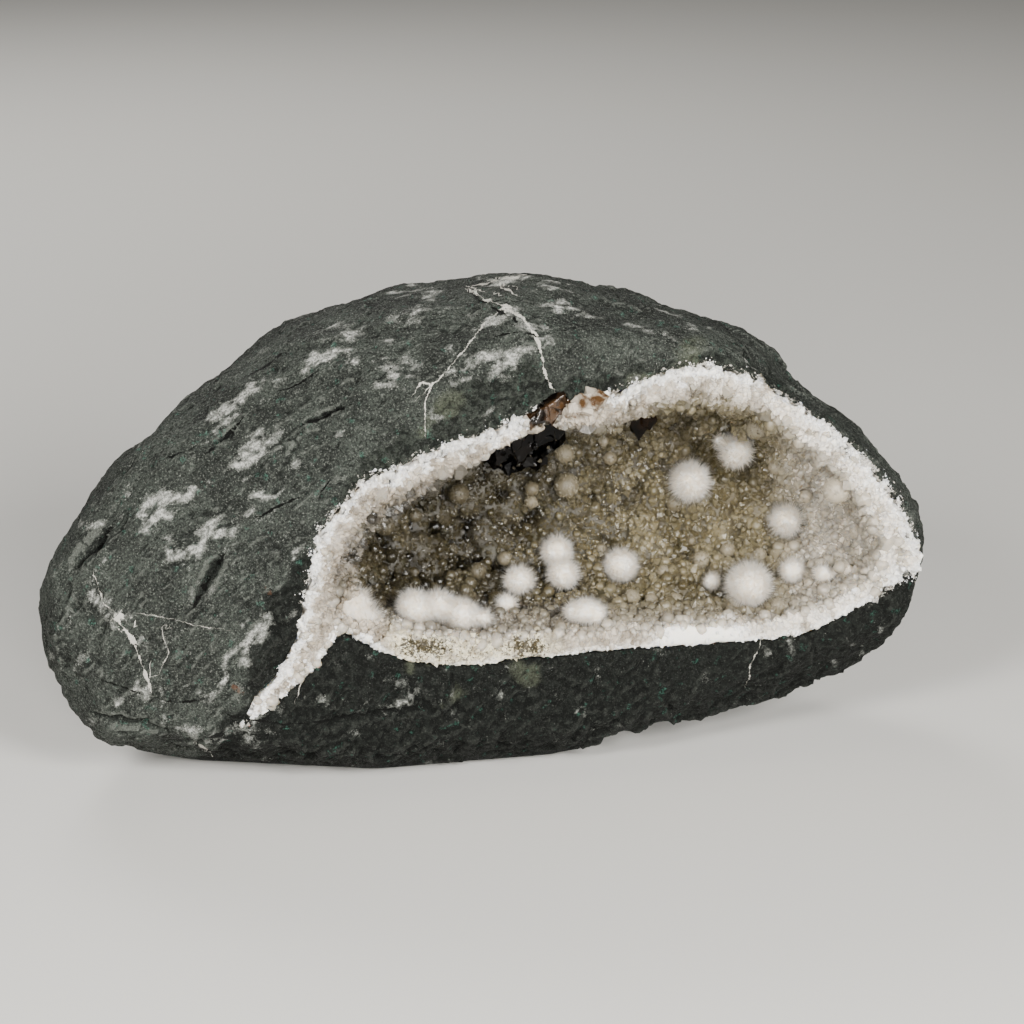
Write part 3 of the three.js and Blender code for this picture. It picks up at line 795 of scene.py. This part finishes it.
def quartz_marks(places, tint):
    """What the quartz's materials read, by name, for each place."""
    return {
        "white": whiteness(places),
        "sandy": sandiness(places),
        "outer": np.maximum(np.exp(-(((from_rock(places) - bitten(places)) / 1.9) ** 2)), plate(places)),
        "high": knobbly(places),
        "lump": np.array([beads(Vector(p) / MM, LUMP_SIZE, 4) for p in places]) / BEAD_TOP,
        "tint": tint,
    }


# Where the calcite shows, as seen from the front: its outlines, right and up in mm.
BLACK_OUTLINE = [
    (-5.2, 12.9), (-1.6, 14.7), (3.2, 17.4), (7.5, 18), (11.8, 17.7), (10.8, 15.2), (8.1, 13), (5.6, 10.6),
    (0.5, 9), (-4.7, 10.4),
]
RHOMB_OUTLINE = [(24.9, 19.3), (28.5, 20.9), (33, 22), (27.6, 16.6)]
BROWN_OUTLINE = [(3.8, 18.8), (4.3, 21.3), (8.4, 27.2), (10.2, 27.8), (13.4, 26.2), (13, 23.6), (9, 19.4)]
PALE_OUTLINE = [
    (10.4, 24.6), (11.6, 22.2), (15.2, 21.8), (19.4, 25), (21.4, 28.4), (18.8, 28.2), (14.4, 26.4),
]
CALCITE_OUTLINES = [BLACK_OUTLINE, RHOMB_OUTLINE, BROWN_OUTLINE, PALE_OUTLINE]


def on_calcite(places):
    """How far each place lies inside the calcite's outlines as seen from the front, less than 0 outside."""
    seen = as_seen(places)
    return np.max([inside_outline(seen, outline) for outline in CALCITE_OUTLINES], 0)


def quartz_copies(name, shape, middles, frames, uneven, smooth=False, over_calcite=False):
    """Copies of a small form in quartz, each with a tint, from 0 to 1, that is alike over a knob."""
    if not over_calcite:
        free = on_calcite(middles) < -0.2 - 0.7 * np.linalg.norm(frames[:, :, 0], axis=1) / MM
        middles, frames = middles[free], frames[free]
    piece = joined_copies(name, shape, middles, frames, uneven, smooth)
    tint = 0.35 * rng.random(len(middles)) + 0.65 * knob_tint(middles)
    for mark, values in quartz_marks(middles, tint).items():
        paint(piece, mark, np.repeat(values, len(shape[0])))
    return piece


def in_pocket(middles, way):
    return (np.sum(way * toward_pocket(middles), 1) > 0.05) & (depth_in(middles) > 0.8)


# Quartz crystals, six-sided: the tip alone, as a crust of them shows it, one with a rounded, partly dissolved
# tip, and one that stands free on its prism.
QUARTZ_SIDES = 6


def quartz_crystal(levels):
    """A closed six-sided form through rings at (height, radius), the first and last of them single points."""
    places, faces = [(0, 0, levels[0][0])], []
    for height, radius in levels[1:-1]:
        turns = np.arange(QUARTZ_SIDES) * 2 * math.pi / QUARTZ_SIDES
        places += [(radius * math.cos(turn), radius * math.sin(turn), height) for turn in turns]
    places.append((0, 0, levels[-1][0]))
    top, last_ring = len(places) - 1, len(places) - 1 - QUARTZ_SIDES
    for i in range(QUARTZ_SIDES):
        j = (i + 1) % QUARTZ_SIDES
        faces += [(0, 1 + j, 1 + i), (top, last_ring + i, last_ring + j)]
        for low in range(1, last_ring, QUARTZ_SIDES):
            high = low + QUARTZ_SIDES
            faces += [(low + i, low + j, high + j), (low + i, high + j, high + i)]
    return np.array(places), np.array(faces)


bead = template(bpy.ops.mesh.primitive_ico_sphere_add, subdivisions=2, radius=1)
large_bead = template(bpy.ops.mesh.primitive_ico_sphere_add, subdivisions=3, radius=1)
crystal_tip = quartz_crystal([(-0.7, 0), (0, 1), (1.1, 0)])
crystal_rounded = quartz_crystal([(-0.7, 0), (0, 1), (0.62, 0.72), (1.0, 0)])
crystal_prism = quartz_crystal([(-0.5, 0), (-0.3, 1), (0.9, 0.95), (2.0, 0)])

# Globules that show by their size or place: right and up as seen from the front, and radius, in mm.
GLOBULES = [
    (12.2, 5.4, 2.9), (4.3, 5.2, 1.7), (4.2, 2.4, 1.5), (-12.2, 4.2, 2.4), (11.8, 13.6, 2.2),
    (-7.7, -13.4, 2.0), (-22, -0.8, 1.6), (-28.5, -3, 2.2), (22, 12.4, 1.6), (43, -10.4, 1.9),
    (48.4, -8.3, 1.7), (55.4, -9.8, 1.7), (40.5, -6.6, 1.1), (50, -21.3, 2.3), (54.6, 19.7, 2.8),
    (36.8, 2.2, 2.2), (74, 5.2, 3.2), (20.6, 16.4, 1.3), (-17.6, -17.6, 1.7), (-33.8, -12.5, 1.6),
    (9, -22.4, 1.2), (27, -19.6, 1.8), (31.6, -19.8, 1.5), (37, -20.5, 1.9), (24.4, -26.4, 1.5),
    (60, -21.6, 1.8), (70.4, -16.8, 1.8), (-1.5, -10.6, 1.7), (-14, -8.4, 1.7), (20, -8.6, 1.3),
    (78, -4.4, 1.7), (66.6, 3.4, 1.6), (34.2, -13.6, 1.4), (-22.4, -13.8, 1.3), (15.6, -14.4, 1.2),
    (59.6, 10.4, 1.7),
]


def seats_on(tree, marks):
    """Where the lines of sight through marks (right, up, size) meet a surface, and the way it faces there."""
    seats, ways, found = [], [], []
    for right, up, size in marks:
        aimed = VIEW_IN * VIEW_DISTANCE + VIEW_RIGHT * right * MM + VIEW_UP * up * MM
        seat, way, _, _ = tree.ray_cast(Vector(EYE), Vector(aimed))
        if seat is not None:
            seats.append(seat)
            ways.append(way)
            found.append(size * MM)
    return np.array(seats), np.array(ways), np.array(found)


def seeded(piece, count, wanted, size, closeness=0.0, most=None, clear=0.0):
    """Where forms of random sizes sit on a piece, the ways it faces there, and their radii. Where closeness
    is given, the larger ones keep the others off, and all stay clear mm away from the okenite."""
    points, ways = surface_points(piece, count, wanted)
    radii = sizes(*size, count)
    if closeness:
        radii = np.sort(radii)[::-1]
        kept = spaced(points, radii, closeness)[:most]
        if clear:
            kept = kept[from_puffs(points[kept]) > clear]
        points, ways, radii = points[kept], ways[kept], radii[kept]
    return points, ways, radii


points, ways, radii = seats_on(tree_of(base), GLOBULES)
middles = points + ways * (0.3 * radii)[:, None]
frames = framed(ways, radii)
globules = [quartz_copies("druse_large_globules", large_bead, middles, frames, 0.016, smooth=True)]


# Smaller globules between them, and crystals that crowd over everything.
def on_floor(middles, way):
    floor = ramp(way[:, 2], 0.2, 0.6) * ramp(-as_seen(middles)[:, 1], 6, 14)
    return in_pocket(middles, way) * (0.25 + 2 * floor)


points, ways, radii = seeded(base, 2400, on_floor, (0.78, 0.35, 0.45, 1.6), 0.8, 900, clear=0.6)
middles = points + ways * (0.3 * radii)[:, None]
druse = [quartz_copies("druse_globules", bead, middles, framed(ways, radii, 0, 0.95), 0.05, smooth=True)]
for name, shape, most, lean in [
    ("druse_rounded_crystals", crystal_rounded, 7800, 0.35), ("druse_crystals", crystal_tip, 9500, 0.5),
]:
    points, ways, radii = seeded(base, 15000, in_pocket, (0.44, 0.38, 0.24, 1.1), 0.46, most)
    radii *= 0.85 + 0.5 * ramp(as_seen(points)[:, 0], 0, 45)
    druse.append(quartz_copies(name, shape, points, framed(ways, radii, lean, 1.2), 0.09))
points, ways, radii = seeded(base, 1200, in_pocket, (0.3, 0.4, 0.16, 0.6))
middles = points + ways * (rng.uniform(0.0, 0.5, len(points)) * MM)[:, None]
druse.append(quartz_copies("druse_prisms", crystal_prism, middles, framed(ways, radii, 0.6), 0.06))


# A fine druse on the globules.
def to_front(middles, way):
    return way @ -VIEW_IN > -0.2


points, ways, radii = seeded(globules[0], 2200, to_front, (0.2, 0.35, 0.1, 0.42))
middles = points - ways * 0.05 * MM
globules.append(quartz_copies("druse_on_globules", crystal_tip, middles, framed(ways, radii, 0.4), 0.12))


# The rim: rounded crystals side by side over the cut, most of them towards the pocket.
def over_cut(middles, way):
    cover = from_rock(middles) - bitten(middles)
    return on_rim(middles, way) * (0.3 + ramp(cover, 1.0, 3.0)) * (1 - plate(middles)) * (cover > 0)


points, ways, radii = seeded(base, 9000, over_cut, (0.4, 0.4, 0.2, 1.0), 0.42)
across = toward_pocket(points)
across -= (across @ BREAK_OUT)[:, None] * BREAK_OUT
frames = framed(0.7 * across + ways, radii, 0.45, 1.2)
rim = [quartz_copies("rim_crystals", crystal_tip, points - ways * 0.15 * MM, frames, 0.12)]


# Larger, blocky crystals along the lip, fused side by side, that reach into the pocket.
def at_lip(middles, way):
    lip = (depth_in(middles) < 3.5) & (np.sum(way * toward_pocket(middles), 1) > 0.1)
    return lip * (way @ BREAK_OUT > -0.2)


points, ways, radii = seeded(base, 3000, at_lip, (0.95, 0.38, 0.45, 2.1), 0.55, 800, clear=0.5)
frames = framed(toward_pocket(points) + 0.5 * ways, radii, 0.35, 1.2)
middles = points - ways * (0.25 * radii)[:, None]
low = as_seen(points)[:, 1] < -8
druse.append(quartz_copies("rim_blocks", crystal_rounded, middles[~low], frames[~low], 0.1))
druse.append(quartz_copies("rim_beads", bead, middles[low], 0.72 * frames[low], 0.1, smooth=True))


# Sugar: loose-looking grains of a third of a millimetre along the rim's outer edge, few where it is even.
def at_outer_edge(middles, way):
    cover = from_rock(middles) - bitten(middles)
    sugared = on_rim(middles, way) * np.exp(-((cover / 0.9) ** 2)) * (0.02 + raggedness(middles))
    return sugared * (cover > -0.4)


points, ways, radii = seeded(base, 4600, at_outer_edge, (0.24, 0.4, 0.12, 0.6))
rim.append(quartz_copies("rim_sugar", crystal_tip, points, framed(ways, radii, 0.6), 0.25))


# Glassy crystals and knobs that hang from the roof's edge.
def at_roof_edge(middles, way):
    return in_pocket(middles, way) & (depth_in(middles) < 5) & (way[:, 2] < 0.3)


points, ways, radii = seeded(base, 620, at_roof_edge, (0.75, 0.3, 0.4, 1.4), 0.7, clear=1.5)
frames = framed(ways + np.array([0, 0, -0.6]), radii, 0.25, 1.35)
middles = points + ways * (0.4 * radii)[:, None]
half = len(points) // 2
druse.append(quartz_copies("roof_knobs", bead, middles[:half], frames[:half], 0.05, smooth=True))
druse.append(quartz_copies("roof_crystals", crystal_prism, middles[half:], frames[half:], 0.05))


# Rim crystals that grow over the foot of the half ball, so that it sits in the rim.
def at_foot(middles, way):
    seen = as_seen(middles)
    ragged = np.array([1.4 * noise.noise(Vector(p) / MM / 2.4) for p in middles])
    left, under = ragged - seen[:, 0] > 36, ragged - seen[:, 1] > 25
    return (left | under) & (way @ BREAK_OUT > 0)


half_ball = copy_of("okenite_half_ball_left", "half_ball")
points, ways, radii = seeded(half_ball, 500, at_foot, (0.55, 0.4, 0.25, 1.2), 0.45)
bpy.data.objects.remove(half_ball)
middles, frames = points - ways * 0.2 * MM, framed(ways, radii, 0.4, 1.1)
rim.append(quartz_copies("rim_over_half_ball", crystal_rounded, middles, frames, 0.1))


# Strays of sugar that sit out on the rock beside the rim.
def beside_rim(middles, way):
    gap = np.array([crust_tree.find_nearest(Vector(p))[3] for p in middles]) / MM
    upper = ramp(as_seen(middles)[:, 1], -22, -14)
    return np.exp(-((gap / 1.4) ** 2)) * (way @ BREAK_OUT > 0.1) * (depth_in(middles) < 4) * upper


points, ways = surface_points(rock, 9000, beside_rim)
clumped = np.array([noise.noise(Vector(p) / MM / 2.2) for p in points])
clumped = clumped - 0.1 * rng.random(len(points)) > 0.08
points, ways = points[clumped], ways[clumped]
frames = framed(ways, sizes(0.17, 0.4, 0.08, 0.4, len(points)), 0.5)
rim.append(quartz_copies("rim_strays", crystal_tip, points, frames, 0.25))

cut, cover = on_rim(places, facing), from_rock(places) - bitten(places)
stored = {
    **quartz_marks(places, knob_tint(places)),
    "border": np.exp(-np.maximum(cover, 0) / 0.7) * cut,
    "rocky": (1 - ramp(cover, -0.2, 0.1)) * cut * raggedness(places),
    "hollow": hollowness(base),
    "black": ramp(inside_outline(as_seen(places), BLACK_OUTLINE), -0.6, 0.3),
}
for name, values in stored.items():
    paint(base, name, values)

# Massive quartz: milky white and sugary where it meets the rock, greyer and clearer towards the pocket, and
# grey to olive behind the crystals, where iron and green chlorite stain it and painted shade darkens the
# crevices and the pocket's left. Light enters it and scatters.
QUARTZ_IOR = 1.54
quartz, tree = material("quartz_milky")
place, cloudy, sugar, moss, clotted, speckled = grains(
    (3, 4, 0.6), (0.5, 4, 0.7), (5, 4, 0.6), (1.6, 4, 0.7), (0.8, 2, 0.6)
)
white, sandy, outer, high, lump, tint, border, rocky, hollow, black = [
    add("Attribute", {}, attribute_name=name).outputs["Fac"] for name in stored
]
to_right = add("SeparateXYZ", {"Vector": place}).outputs["X"]
sand = layered("#d6ccb0", ("#352d15", (total(sugar, (clotted, 0.9), (sandy, 0.14)), 1.12, 1.22)))
edge = layered(
    "#675e50",
    ("#a09585", (cloudy, 0.4, 0.6)),
    ("#eee5d7", (to_right, 20 * MM, 75 * MM, 0, 0.8)),
    ("#d6cbbb", tint, 0.4),
    ("#faf6ed", (total(outer, (cloudy, 0.9)), 0.6, 1.15, 0, 0.92)),
    # Painted shade: darker in the hollows and in the crevices between the rim's lumps.
    ("#6a5f4c", (hollow, 0.02, 0.2, 0, 0.6)),
    ("#6f6454", (lump, 0.5, 0, 0, 0.6)),
    (sand, sandy, (cloudy, 0.35, 0.6, 0.35, 1)),
    ("#f8f5ee", border),
)
# Behind the crystals: painted shade leaves the crevices between the knobs near black and the pocket's left
# darker; the olive patches are a chlorite stain.
inner = layered(
    "#0a0803",
    ("#332d1c", high),
    ("#34321c", (moss, 0.5, 0.68, 0, 0.6)),
    ("#8f8468", (to_right, 10 * MM, 70 * MM, 0, 0.3)),
)
dark_rock = layered("#101210", ("#343833", sugar))
crust_colour = layered(
    inner,
    (edge, (total(white, (cloudy, 0.6)), 0.5, 1.2)),
    ("#5d4b27", (speckled, 0.7, 0.74, 0, 0.5)),
    ("#050403", black),
    (dark_rock, rocky),
)
surfaced(
    {
        "Base Color": crust_colour, "Roughness": product((sugar, 0.3, 0.7, 0.2, 0.5)), "IOR": QUARTZ_IOR,
        "Subsurface Weight": 0.7, "Subsurface Scale": 1 * MM, "Subsurface Radius": (1, 0.9, 0.72),
    },
    sugar, 0.7, 0.35,
)
for piece in [base, *rim]:
    dress(piece, quartz)
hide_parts("quartz_crust")

# Quartz crystals and small globules in the pocket: glassy, half clear, colourless to faintly smoky and olive.
clear_quartz, tree = material("quartz_half_clear")
place, moss, dimpled = grains((6, 4, 0.6), (0.45, 3, 0.65))
high, tint, white = [
    add("Attribute", {}, attribute_name=name).outputs["Fac"] for name in ("high", "tint", "white")
]
apart = add("SeparateXYZ", {"Vector": place}).outputs
# Painted light: the crystals are lighter on the knobs' tops, towards the pocket's right and low down; painted
# shade leaves them darker in the crevices and up on the left.
lit = total(
    product((high, 0.1, 0.9, 0, 0.4)),
    ((apart["X"], -8 * MM, 56 * MM), 0.6),
    ((apart["Z"], 74 * MM, 42 * MM), 0.25),
)
tone = layered(
    "#1b1609",
    (layered("#6f6444", ("#c6ba98", tint)), (lit, 0.2, 1.15)),
    ("#6b6440", (moss, 0.5, 0.68, 0, 0.4)),
    ("#f6eedf", (white, 0.3, 1.1)),
)
surfaced(
    {
        "Base Color": tone, "Roughness": 0.2, "IOR": QUARTZ_IOR, "Transmission Weight": 0.7,
        "Subsurface Weight": 0.6, "Subsurface Scale": 0.5 * MM, "Subsurface Radius": (1, 0.92, 0.75),
        "Specular IOR Level": 0.25,
    },
    dimpled, 0.5, 0.25,
)
for piece in druse:
    dress(piece, clear_quartz)

# Globules: balls of fibrous chalcedony, cloudy, with a frosted skin.
chalcedony, tree = material("chalcedony_cloudy")
place, frosted = grains((0.4, 4, 0.7))
tint, white = [add("Attribute", {}, attribute_name=name).outputs["Fac"] for name in ("tint", "white")]
to_right = add("SeparateXYZ", {"Vector": place}).outputs["X"]
tone = layered(
    "#6f6651",
    ("#a89e86", tint),
    # Painted shade: the globules are darker towards the pocket's left.
    ("#4a4330", (to_right, -8 * MM, 14 * MM, 0.85, 0)),
    ("#cfc4b0", (white, 0.3, 1.1)),
)
surfaced(
    {
        "Base Color": tone, "Roughness": 0.25, "IOR": QUARTZ_IOR, "Transmission Weight": 0.35,
        "Subsurface Weight": 0.7, "Subsurface Scale": 0.8 * MM, "Subsurface Radius": (1, 0.92, 0.75),
    },
    frosted, 0.8, 0.25,
)
for piece in globules:
    dress(piece, chalcedony)

# ---------------------------------------------------------------- the okenite puffballs
# Okenite: balls of white needles a few hundredths of a millimetre thick that radiate from one point, soft as
# fur. Each is a dense, slightly uneven core with thousands of closed, tapered needles on it. The needles are
# drawn about 0.1 mm thick at the root, coarser than real, so that they show.

CORE_MESH = 0.4 * MM
NEEDLES_PER_MM2 = 36
NEEDLE_ROOT = 0.034 * MM
NEEDLE_SUNK = 0.2 * MM
NEEDLE = (
    np.array([(1, 0, 0), (-0.5, 0.87, 0), (-0.5, -0.87, 0), (0, 0, 1)], float),
    np.array([(0, 2, 1), (0, 1, 3), (1, 2, 3), (2, 0, 3)]),
)
# How far the needles stand out of the core, in mm.
FUZZ = {
    "ball_wall_top": 1.6, "ball_wall_middle": 1.8, "ball_wall_right": 1.6, "ball_floor_large": 1.8,
    "ball_floor_small": 0.9, "ball_crease_right": 1.1, "ball_floor_right": 0.9, "ball_crease_middle": 1.4,
    "pair": 1.4, "ball_left": 1.3, "ball_left_small": 1.0, "ball_floor_front": 1.1, "cluster_left": 1.4,
    "half_ball_left": 1.7,
}

okenite, tree = material("okenite_needles")
place, silky = grains((1.5, 3, 0.6))
surfaced({
    "Base Color": layered("#f7e8cf", ("#fffaf0", (silky, 0.35, 0.7))), "Roughness": 0.85, "IOR": 1.54,
    "Subsurface Weight": 0.7, "Subsurface Scale": 1.2 * MM, "Subsurface Radius": (1, 0.9, 0.8),
    "Specular IOR Level": 0.25,
})


def all_over(middles, way):
    return np.ones(len(middles))


for name, fuzz in FUZZ.items():
    core = copy_of(f"okenite_{name}", f"puff_{name}")
    modify(core, "REMESH", mode="VOXEL", voxel_size=CORE_MESH)
    modify(core, "SMOOTH", iterations=10)
    place_corners(core, corners(core.data) - normals(core.data) * 0.95 * fuzz * MM)
    area = sum(p.area for p in core.data.polygons) / MM**2
    points, ways = surface_points(core, int(area * NEEDLES_PER_MM2), all_over)
    tuft = np.array([noise.noise_vector(Vector(p) / (0.8 * MM)) for p in points])
    lean = unit(ways + 0.08 * tuft + rng.normal(size=ways.shape) * 0.07)
    length = fuzz * MM * (0.3 + 1.6 * rng.random(len(points)) ** 1.9) + NEEDLE_SUNK
    thick = np.full(len(points), NEEDLE_ROOT)
    frames = turned_to(lean) * np.stack([thick, thick, length], 1)[:, None, :]
    fur = joined_copies("fur", NEEDLE, points - ways * NEEDLE_SUNK, frames, smooth=True)
    select_only(core, fur)
    bpy.ops.object.join()
    dress(core, okenite)
    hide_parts(f"okenite_{name}")

# ---------------------------------------------------------------- the calcite
# Brown and near-black calcite at the roof's edge: glassy, broken along many small cleavage steps. Pale glassy
# blocks lie beside the brown pieces, and black ones with a few small clear quartz crystals behind the edge.

CALCITE_MESH = 0.28 * MM
calcite = {}
for name, deep, pale, clearness, shine in [
    ("smoky_brown", "#0d0805", "#3f2c1a", 0.1, 0.4),
    ("near_black", "#010101", "#060403", 0.0, 0.1),
    ("dark_brown", "#030201", "#0e0703", 0.0, 0.06),
    ("pale", "#5a4128", "#c4bbac", 0.3, 0.5),
]:
    calcite[name], tree = material(f"calcite_{name}")
    place, cloud = grains((4, 3, 0.6))
    tone = layered(deep, (pale, (cloud, 0.42, 0.62)))
    surfaced(
        {
            "Base Color": tone, "Roughness": 0.15, "IOR": 1.6, "Transmission Weight": clearness,
            "Specular IOR Level": shine,
        },
        cloud, 0.3, 0.2,
    )

# The solids' surfaces are broken up into small tilted steps: each gets a step's size in mm.
for node, made, slot, step in [
    ("smoky_calcite_cluster", "smoky_brown", "brown_calcite", 4.5),
    ("dark_calcite_cluster", "near_black", "black_calcite", 2.4),
    ("dark_calcite_rhomb", "dark_brown", "brown_calcite", 4),
]:
    piece = copy_of(node, f"{node}_cut")
    modify(piece, "REMESH", mode="VOXEL", voxel_size=CALCITE_MESH)
    at, out = corners(piece.data), normals(piece.data)
    heights = np.array([chips(Vector(p) / MM, step, 11) for p in at]) * 0.22 * step * MM
    place_corners(piece, at + out * heights[:, None])
    dress(piece, calcite[made])
    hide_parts(node)

block = template(bpy.ops.mesh.primitive_cube_add, size=1.5)


def blocks(name, outline, count, size, lift, lean):
    """Blocks strewn over the crust inside an outline as seen from the front, their sizes about one in mm."""
    marks = rng.uniform(np.min(outline, 0), np.max(outline, 0), (count, 2))
    marks = marks[inside_outline(marks, outline) > 0.2]
    points, ways, _ = seats_on(tree_of(base), [(right, up, 1) for right, up in marks])
    near = (points - EYE) @ VIEW_IN
    near = near < np.median(near) + 4 * MM
    points, ways = points[near], ways[near]
    radii = sizes(size, 0.35, 0.5 * size, 1.9 * size, len(points))
    return joined_copies(name, block, points + ways * lift * MM, framed(ways, radii, lean), 0.1)


black_blocks = blocks("calcite_black_blocks", BLACK_OUTLINE, 260, 0.9, 0.3, 0.5)
dress(black_blocks, calcite["near_black"])
pale_blocks = blocks("calcite_pale_blocks", PALE_OUTLINE, 110, 1.1, 1.1, 0.4)
dress(pale_blocks, calcite["pale"])

# Small clear crystals on the black calcite: right, up and radius in mm.
CLEAR = [
    (1.6, 10.8, 0.6), (0.4, 9.9, 0.45), (6.4, 11.6, 0.6), (7.2, 10.6, 0.45), (9.2, 13.6, 0.6),
    (8.2, 14.6, 0.5), (-2.6, 10.6, 0.45), (10, 16.4, 0.5), (4.2, 12.6, 0.4), (-4, 12.2, 0.4), (3, 9.8, 0.5),
    (5, 10.6, 0.35),
]
points, ways, radii = seats_on(tree_of(black_blocks), CLEAR)
frames = framed(ways, radii, 0.3, 1.3)
piece = quartz_copies("clear_crystals_on_calcite", crystal_tip, points, frames, 0.08, over_calcite=True)
piece.data.attributes["white"].data.foreach_set("value", np.full(len(piece.data.vertices), 0.45, np.float32))
dress(piece, clear_quartz)

# ---------------------------------------------------------------- floor, light and camera
# A plain pale floor, two soft lights high in front on the left and the right, one low in front that looks
# into the pocket, a weak one behind and an even grey surround.

bpy.ops.mesh.primitive_plane_add(size=6, location=(0, 0, -0.2 * MM))
floor = bpy.context.object
floor.name = "floor"
painted, tree = material("pale_painted_floor")
surfaced({"Base Color": "#d9d8d4", "Roughness": 0.8})
floor.data.materials.append(painted)

world = bpy.data.worlds.new("even_grey")
bpy.context.scene.world = world
world.use_nodes = True
surround = world.node_tree.nodes["Background"].inputs
surround["Color"].default_value = colour("#cdcac3")
surround["Strength"].default_value = 0.1

# Square lights that point at the specimen's middle: place, size and power.
for name, at, size, power in [
    ("key", (-0.4, -0.85, 0.52), 0.25, 11),
    ("second", (0.5, -0.8, 0.42), 0.3, 15),
    ("front", (0.1, -1.0, 0.24), 0.16, 9),
    ("back", (-0.35, 0.85, 0.7), 0.4, 6),
]:
    bpy.ops.object.light_add(type="AREA", location=at)
    light = bpy.context.object
    light.name = name
    light.data.size = size
    light.data.energy = power
    light.data.color = (1.0, 0.98, 0.945)
    light.rotation_euler = (Vector(AIM) - Vector(at)).to_track_quat("-Z", "Y").to_euler()

bpy.ops.object.camera_add(location=EYE)
camera = bpy.context.object
camera.rotation_euler = (math.pi / 2 - VIEW_RISE, 0, 0)
camera.data.sensor_width = 36
camera.data.lens = 132.2
camera.data.clip_start = 0.05
camera.data.clip_end = 20
bpy.context.scene.camera = camera
